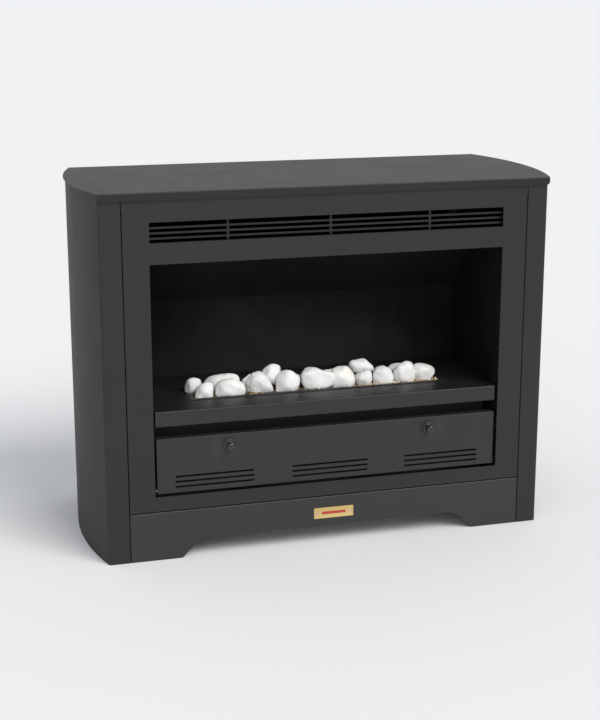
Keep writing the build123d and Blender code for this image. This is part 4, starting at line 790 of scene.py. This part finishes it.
# %% Islands of a node
def islands(name):
    bm = bmesh.new()
    bm.from_mesh(nodes[name].data)
    bmesh.ops.remove_doubles(bm, verts=bm.verts, dist=1e-6)
    boxes = []
    unseen = set(bm.verts)
    while unseen:
        found = connected(next(iter(unseen)))
        unseen -= found
        low = Vector([min(vert.co[axis] for vert in found) for axis in range(3)])
        high = Vector([max(vert.co[axis] for vert in found) for axis in range(3)])
        boxes.append((low, high))
    bm.free()
    return sorted(boxes, key=lambda box: tuple(round(part, 5) for part in box[0]))


# %% Punch one screw
def temporary(bm, name):
    mesh = bpy.data.meshes.new(name)
    bm.to_mesh(mesh)
    bm.free()
    made = bpy.data.objects.new(name, mesh)
    bpy.context.scene.collection.objects.link(made)
    return made


def punched_screw(head_radius, head, shank_radius, shank):
    profile = [
        (0.0, -shank), (shank_radius, -shank), (shank_radius, 0.0), (head_radius, 0.0),
        (head_radius, head * 0.35), (head_radius * 0.94, head * 0.66), (head_radius * 0.78, head * 0.88),
        (head_radius * 0.5, head), (0.0, head),
    ]
    cross_length, cross_width = head_radius * 1.05, head_radius * 0.24
    bm = bmesh.new()
    turned(bm, profile, (0, 0, 0), (0, 0, 1), steps=28)
    blank = temporary(bm, "screw blank")
    bm = bmesh.new()
    for turn in (0.0, math.pi / 2):
        slot = bmesh.ops.create_cube(bm, size=1.0)["verts"]
        bmesh.ops.scale(bm, verts=slot, vec=(cross_length, cross_width, head))
        bmesh.ops.rotate(bm, verts=slot, cent=(0, 0, 0), matrix=Matrix.Rotation(turn, 3, "Z"))
        bmesh.ops.translate(bm, verts=slot, vec=(0, 0, head * 0.95))
    punch = temporary(bm, "screw punch")
    cut = blank.modifiers.new("cross", "BOOLEAN")
    cut.operation = "DIFFERENCE"
    cut.object = punch
    cut.use_self = True
    bpy.context.view_layer.update()
    mesh = bpy.data.meshes.new_from_object(blank.evaluated_get(bpy.context.evaluated_depsgraph_get()))
    for used in (blank, punch):
        bpy.data.objects.remove(used)
    return mesh


# %% Set screws where the CAD node has them
head_height = 2.2
shank_radius = 1.95
turn_between_screws = 0.9


def set_screws(name, direction, body, material, mirrored=False):
    direction = Vector(direction)
    axis = max(range(3), key=lambda part: abs(direction[part]))
    side = min(part for part in range(3) if part != axis)
    boxes = islands(name)
    low, high = boxes[0]
    length = high[axis] - low[axis]
    head = head_height * mm
    screw = punched_screw((high[side] - low[side]) / 2, head, shank_radius * mm, length - head)
    bm = bmesh.new()
    for number, (low, high) in enumerate(boxes):
        way = -direction if mirrored and low.x > 0 else direction
        before = set(bm.verts)
        bm.from_mesh(screw)
        new = [vert for vert in bm.verts if vert not in before]
        spin_round = Matrix.Rotation(turn_between_screws * number, 3, "Z")
        turn = Vector((0, 0, 1)).rotation_difference(way).to_matrix() @ spin_round
        neck = (low + high) / 2 + way * (length / 2 - head)
        bmesh.ops.transform(bm, verts=new, matrix=Matrix.Translation(neck) @ turn.to_4x4())
    piece = finished(bm, f"{name}_punched", material, body, smooth_angle=30.0)
    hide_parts(name)
    print(name, len(boxes), "screws,", len(piece.data.polygons), "faces")


set_screws("rear_panel_screws", (0, 1, 0), "cabinet", zinc_screw)
set_screws("liner_screws", (1, 0, 0), "cabinet", black_screw, mirrored=True)
set_screws("pull_screws", (0, 1, 0), "control_flap", zinc_screw)

# %% [markdown]
# ## The badge
# A small brass plate is riveted to the plinth, a little right of its middle. It carries no name: a
# raised line runs round it just inside the edge, and a plain bar of red enamel lies in its middle. Both
# are boxes with bevelled corners. The outer one has its front inset and the inside of that pushed back,
# which leaves the line.

# %% A panel with rounded corners
def raised_panel(width, height, thickness, corner):
    bm = bmesh.new()
    bmesh.ops.create_cube(bm, size=1.0)
    bmesh.ops.scale(bm, verts=bm.verts, vec=(width * mm, thickness * mm, height * mm))
    upright = [edge for edge in bm.edges if edge.verts[0].co.y * edge.verts[1].co.y < 0]
    bmesh.ops.bevel(
        bm, geom=upright, offset=corner * mm, segments=5, profile=0.5, affect="EDGES", material=-1
    )
    return bm


def front_face(bm):
    return min(bm.faces, key=lambda face: face.calc_center_median().y)


# %% Raised line and enamel bar
low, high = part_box("badge_plate")
badge_middle = middle_at(low, high, low.y)
line_width = 0.55
line_height = 0.25
bm = raised_panel(width=68.0, height=16.6, thickness=2 * line_height, corner=1.2)
bmesh.ops.inset_region(bm, faces=[front_face(bm)], thickness=line_width * mm, use_even_offset=True)
bmesh.ops.translate(bm, verts=front_face(bm).verts, vec=(0, line_height * 0.95 * mm, 0))
bmesh.ops.translate(bm, verts=bm.verts, vec=badge_middle)
finished(bm, "badge_line", badge_brass, "cabinet", smooth_angle=25.0)

bar_lift = 0.05
bm = raised_panel(width=44.0, height=5.0, thickness=0.5, corner=0.6)
bmesh.ops.translate(bm, verts=bm.verts, vec=badge_middle + Vector((0, -bar_lift * mm, 0)))
finished(bm, "badge_bar", red_enamel, "cabinet", smooth_angle=25.0)
print("badge", round((high.x - low.x) / mm, 1), "x", round((high.z - low.z) / mm, 1), "mm")

# %% Rivet heads
rivet_profile = [(0.0, 0.0), (1.8, 0.0), (1.75, 0.25), (1.4, 0.5), (0.8, 0.66), (0.0, 0.7)]
rivets = islands("badge_rivets")
bm = bmesh.new()
for low, high in rivets:
    turned(bm, in_metres(rivet_profile), middle_at(low, high, badge_middle.y), (0, -1, 0), steps=24)
rivet_heads = finished(bm, "badge_rivet_heads", zinc_screw, "cabinet", smooth_angle=40.0)
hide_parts("badge_rivets")
print(len(rivets), "rivet heads")

# %% [markdown]
# ## Floor and light
# The set is plain: a pale floor without a horizon, a large soft lamp from the front right, a weaker one
# from the front left, and a pale world that fills the shadows. The lamps are suns, so that the floor
# is equally bright all the way back. What the camera sees of the world is set apart from how much it
# lights, and it is close to the colour of the lit floor, so that the horizon hardly shows.

# %% Floor
floor_half = 60.0
floor_drop = 0.0005
floor_finish = Finish("pale floor")
tone = floor_finish.clouds(0.6, detail=2.0)
floor_finish.surface(
    base_color=floor_finish.blend(tone, (0.84, 0.853, 0.87), (0.86, 0.873, 0.888)),
    roughness=0.9,
    specular_ior_level=0.1,
)
bm = bmesh.new()
bmesh.ops.create_grid(bm, x_segments=1, y_segments=1, size=floor_half)
floor_mesh = bpy.data.meshes.new("floor")
bm.to_mesh(floor_mesh)
bm.free()
floor_mesh.materials.append(floor_finish.material)
floor = bpy.data.objects.new("floor", floor_mesh)
floor.location.z = -floor_drop
bpy.context.scene.collection.objects.link(floor)
print("floor", 2 * floor_half, "m square, so its edge is lost in the background")

# %% World
world = bpy.data.worlds.new("studio")
world.use_nodes = True
bpy.context.scene.world = world
tree = world.node_tree
tree.nodes.clear()
rays = tree.nodes.new("ShaderNodeLightPath")
seen = tree.nodes.new("ShaderNodeBackground")
seen.inputs["Color"].default_value = (0.865, 0.882, 0.905, 1.0)
seen.inputs["Strength"].default_value = 1.0
filling = tree.nodes.new("ShaderNodeBackground")
filling.inputs["Color"].default_value = (0.97, 0.98, 1.0, 1.0)
filling.inputs["Strength"].default_value = 0.55
choose = tree.nodes.new("ShaderNodeMixShader")
out = tree.nodes.new("ShaderNodeOutputWorld")
tree.links.new(rays.outputs["Is Camera Ray"], choose.inputs["Fac"])
tree.links.new(filling.outputs[0], choose.inputs[1])
tree.links.new(seen.outputs[0], choose.inputs[2])
tree.links.new(choose.outputs[0], out.inputs["Surface"])
print("fill", filling.inputs["Strength"].default_value)


# %% Lamps
def sun(name, strength, colour, compass, height, softness):
    lamp = bpy.data.lights.new(name, "SUN")
    lamp.energy = strength
    lamp.color = colour
    lamp.angle = math.radians(softness)
    holder = bpy.data.objects.new(name, lamp)
    holder.rotation_euler = (math.radians(90 - height), 0.0, math.radians(compass))
    bpy.context.scene.collection.objects.link(holder)


sun("key", 2.0, (1.0, 0.985, 0.96), compass=32.0, height=44.0, softness=36.0)
sun("fill", 0.5, (0.94, 0.97, 1.0), compass=-20.0, height=24.0, softness=60.0)
print("two suns")

# %% [markdown]
# ## Finish
# The colours are shown as they are written.

# %% Finish
bpy.context.scene.view_settings.view_transform = "Standard"
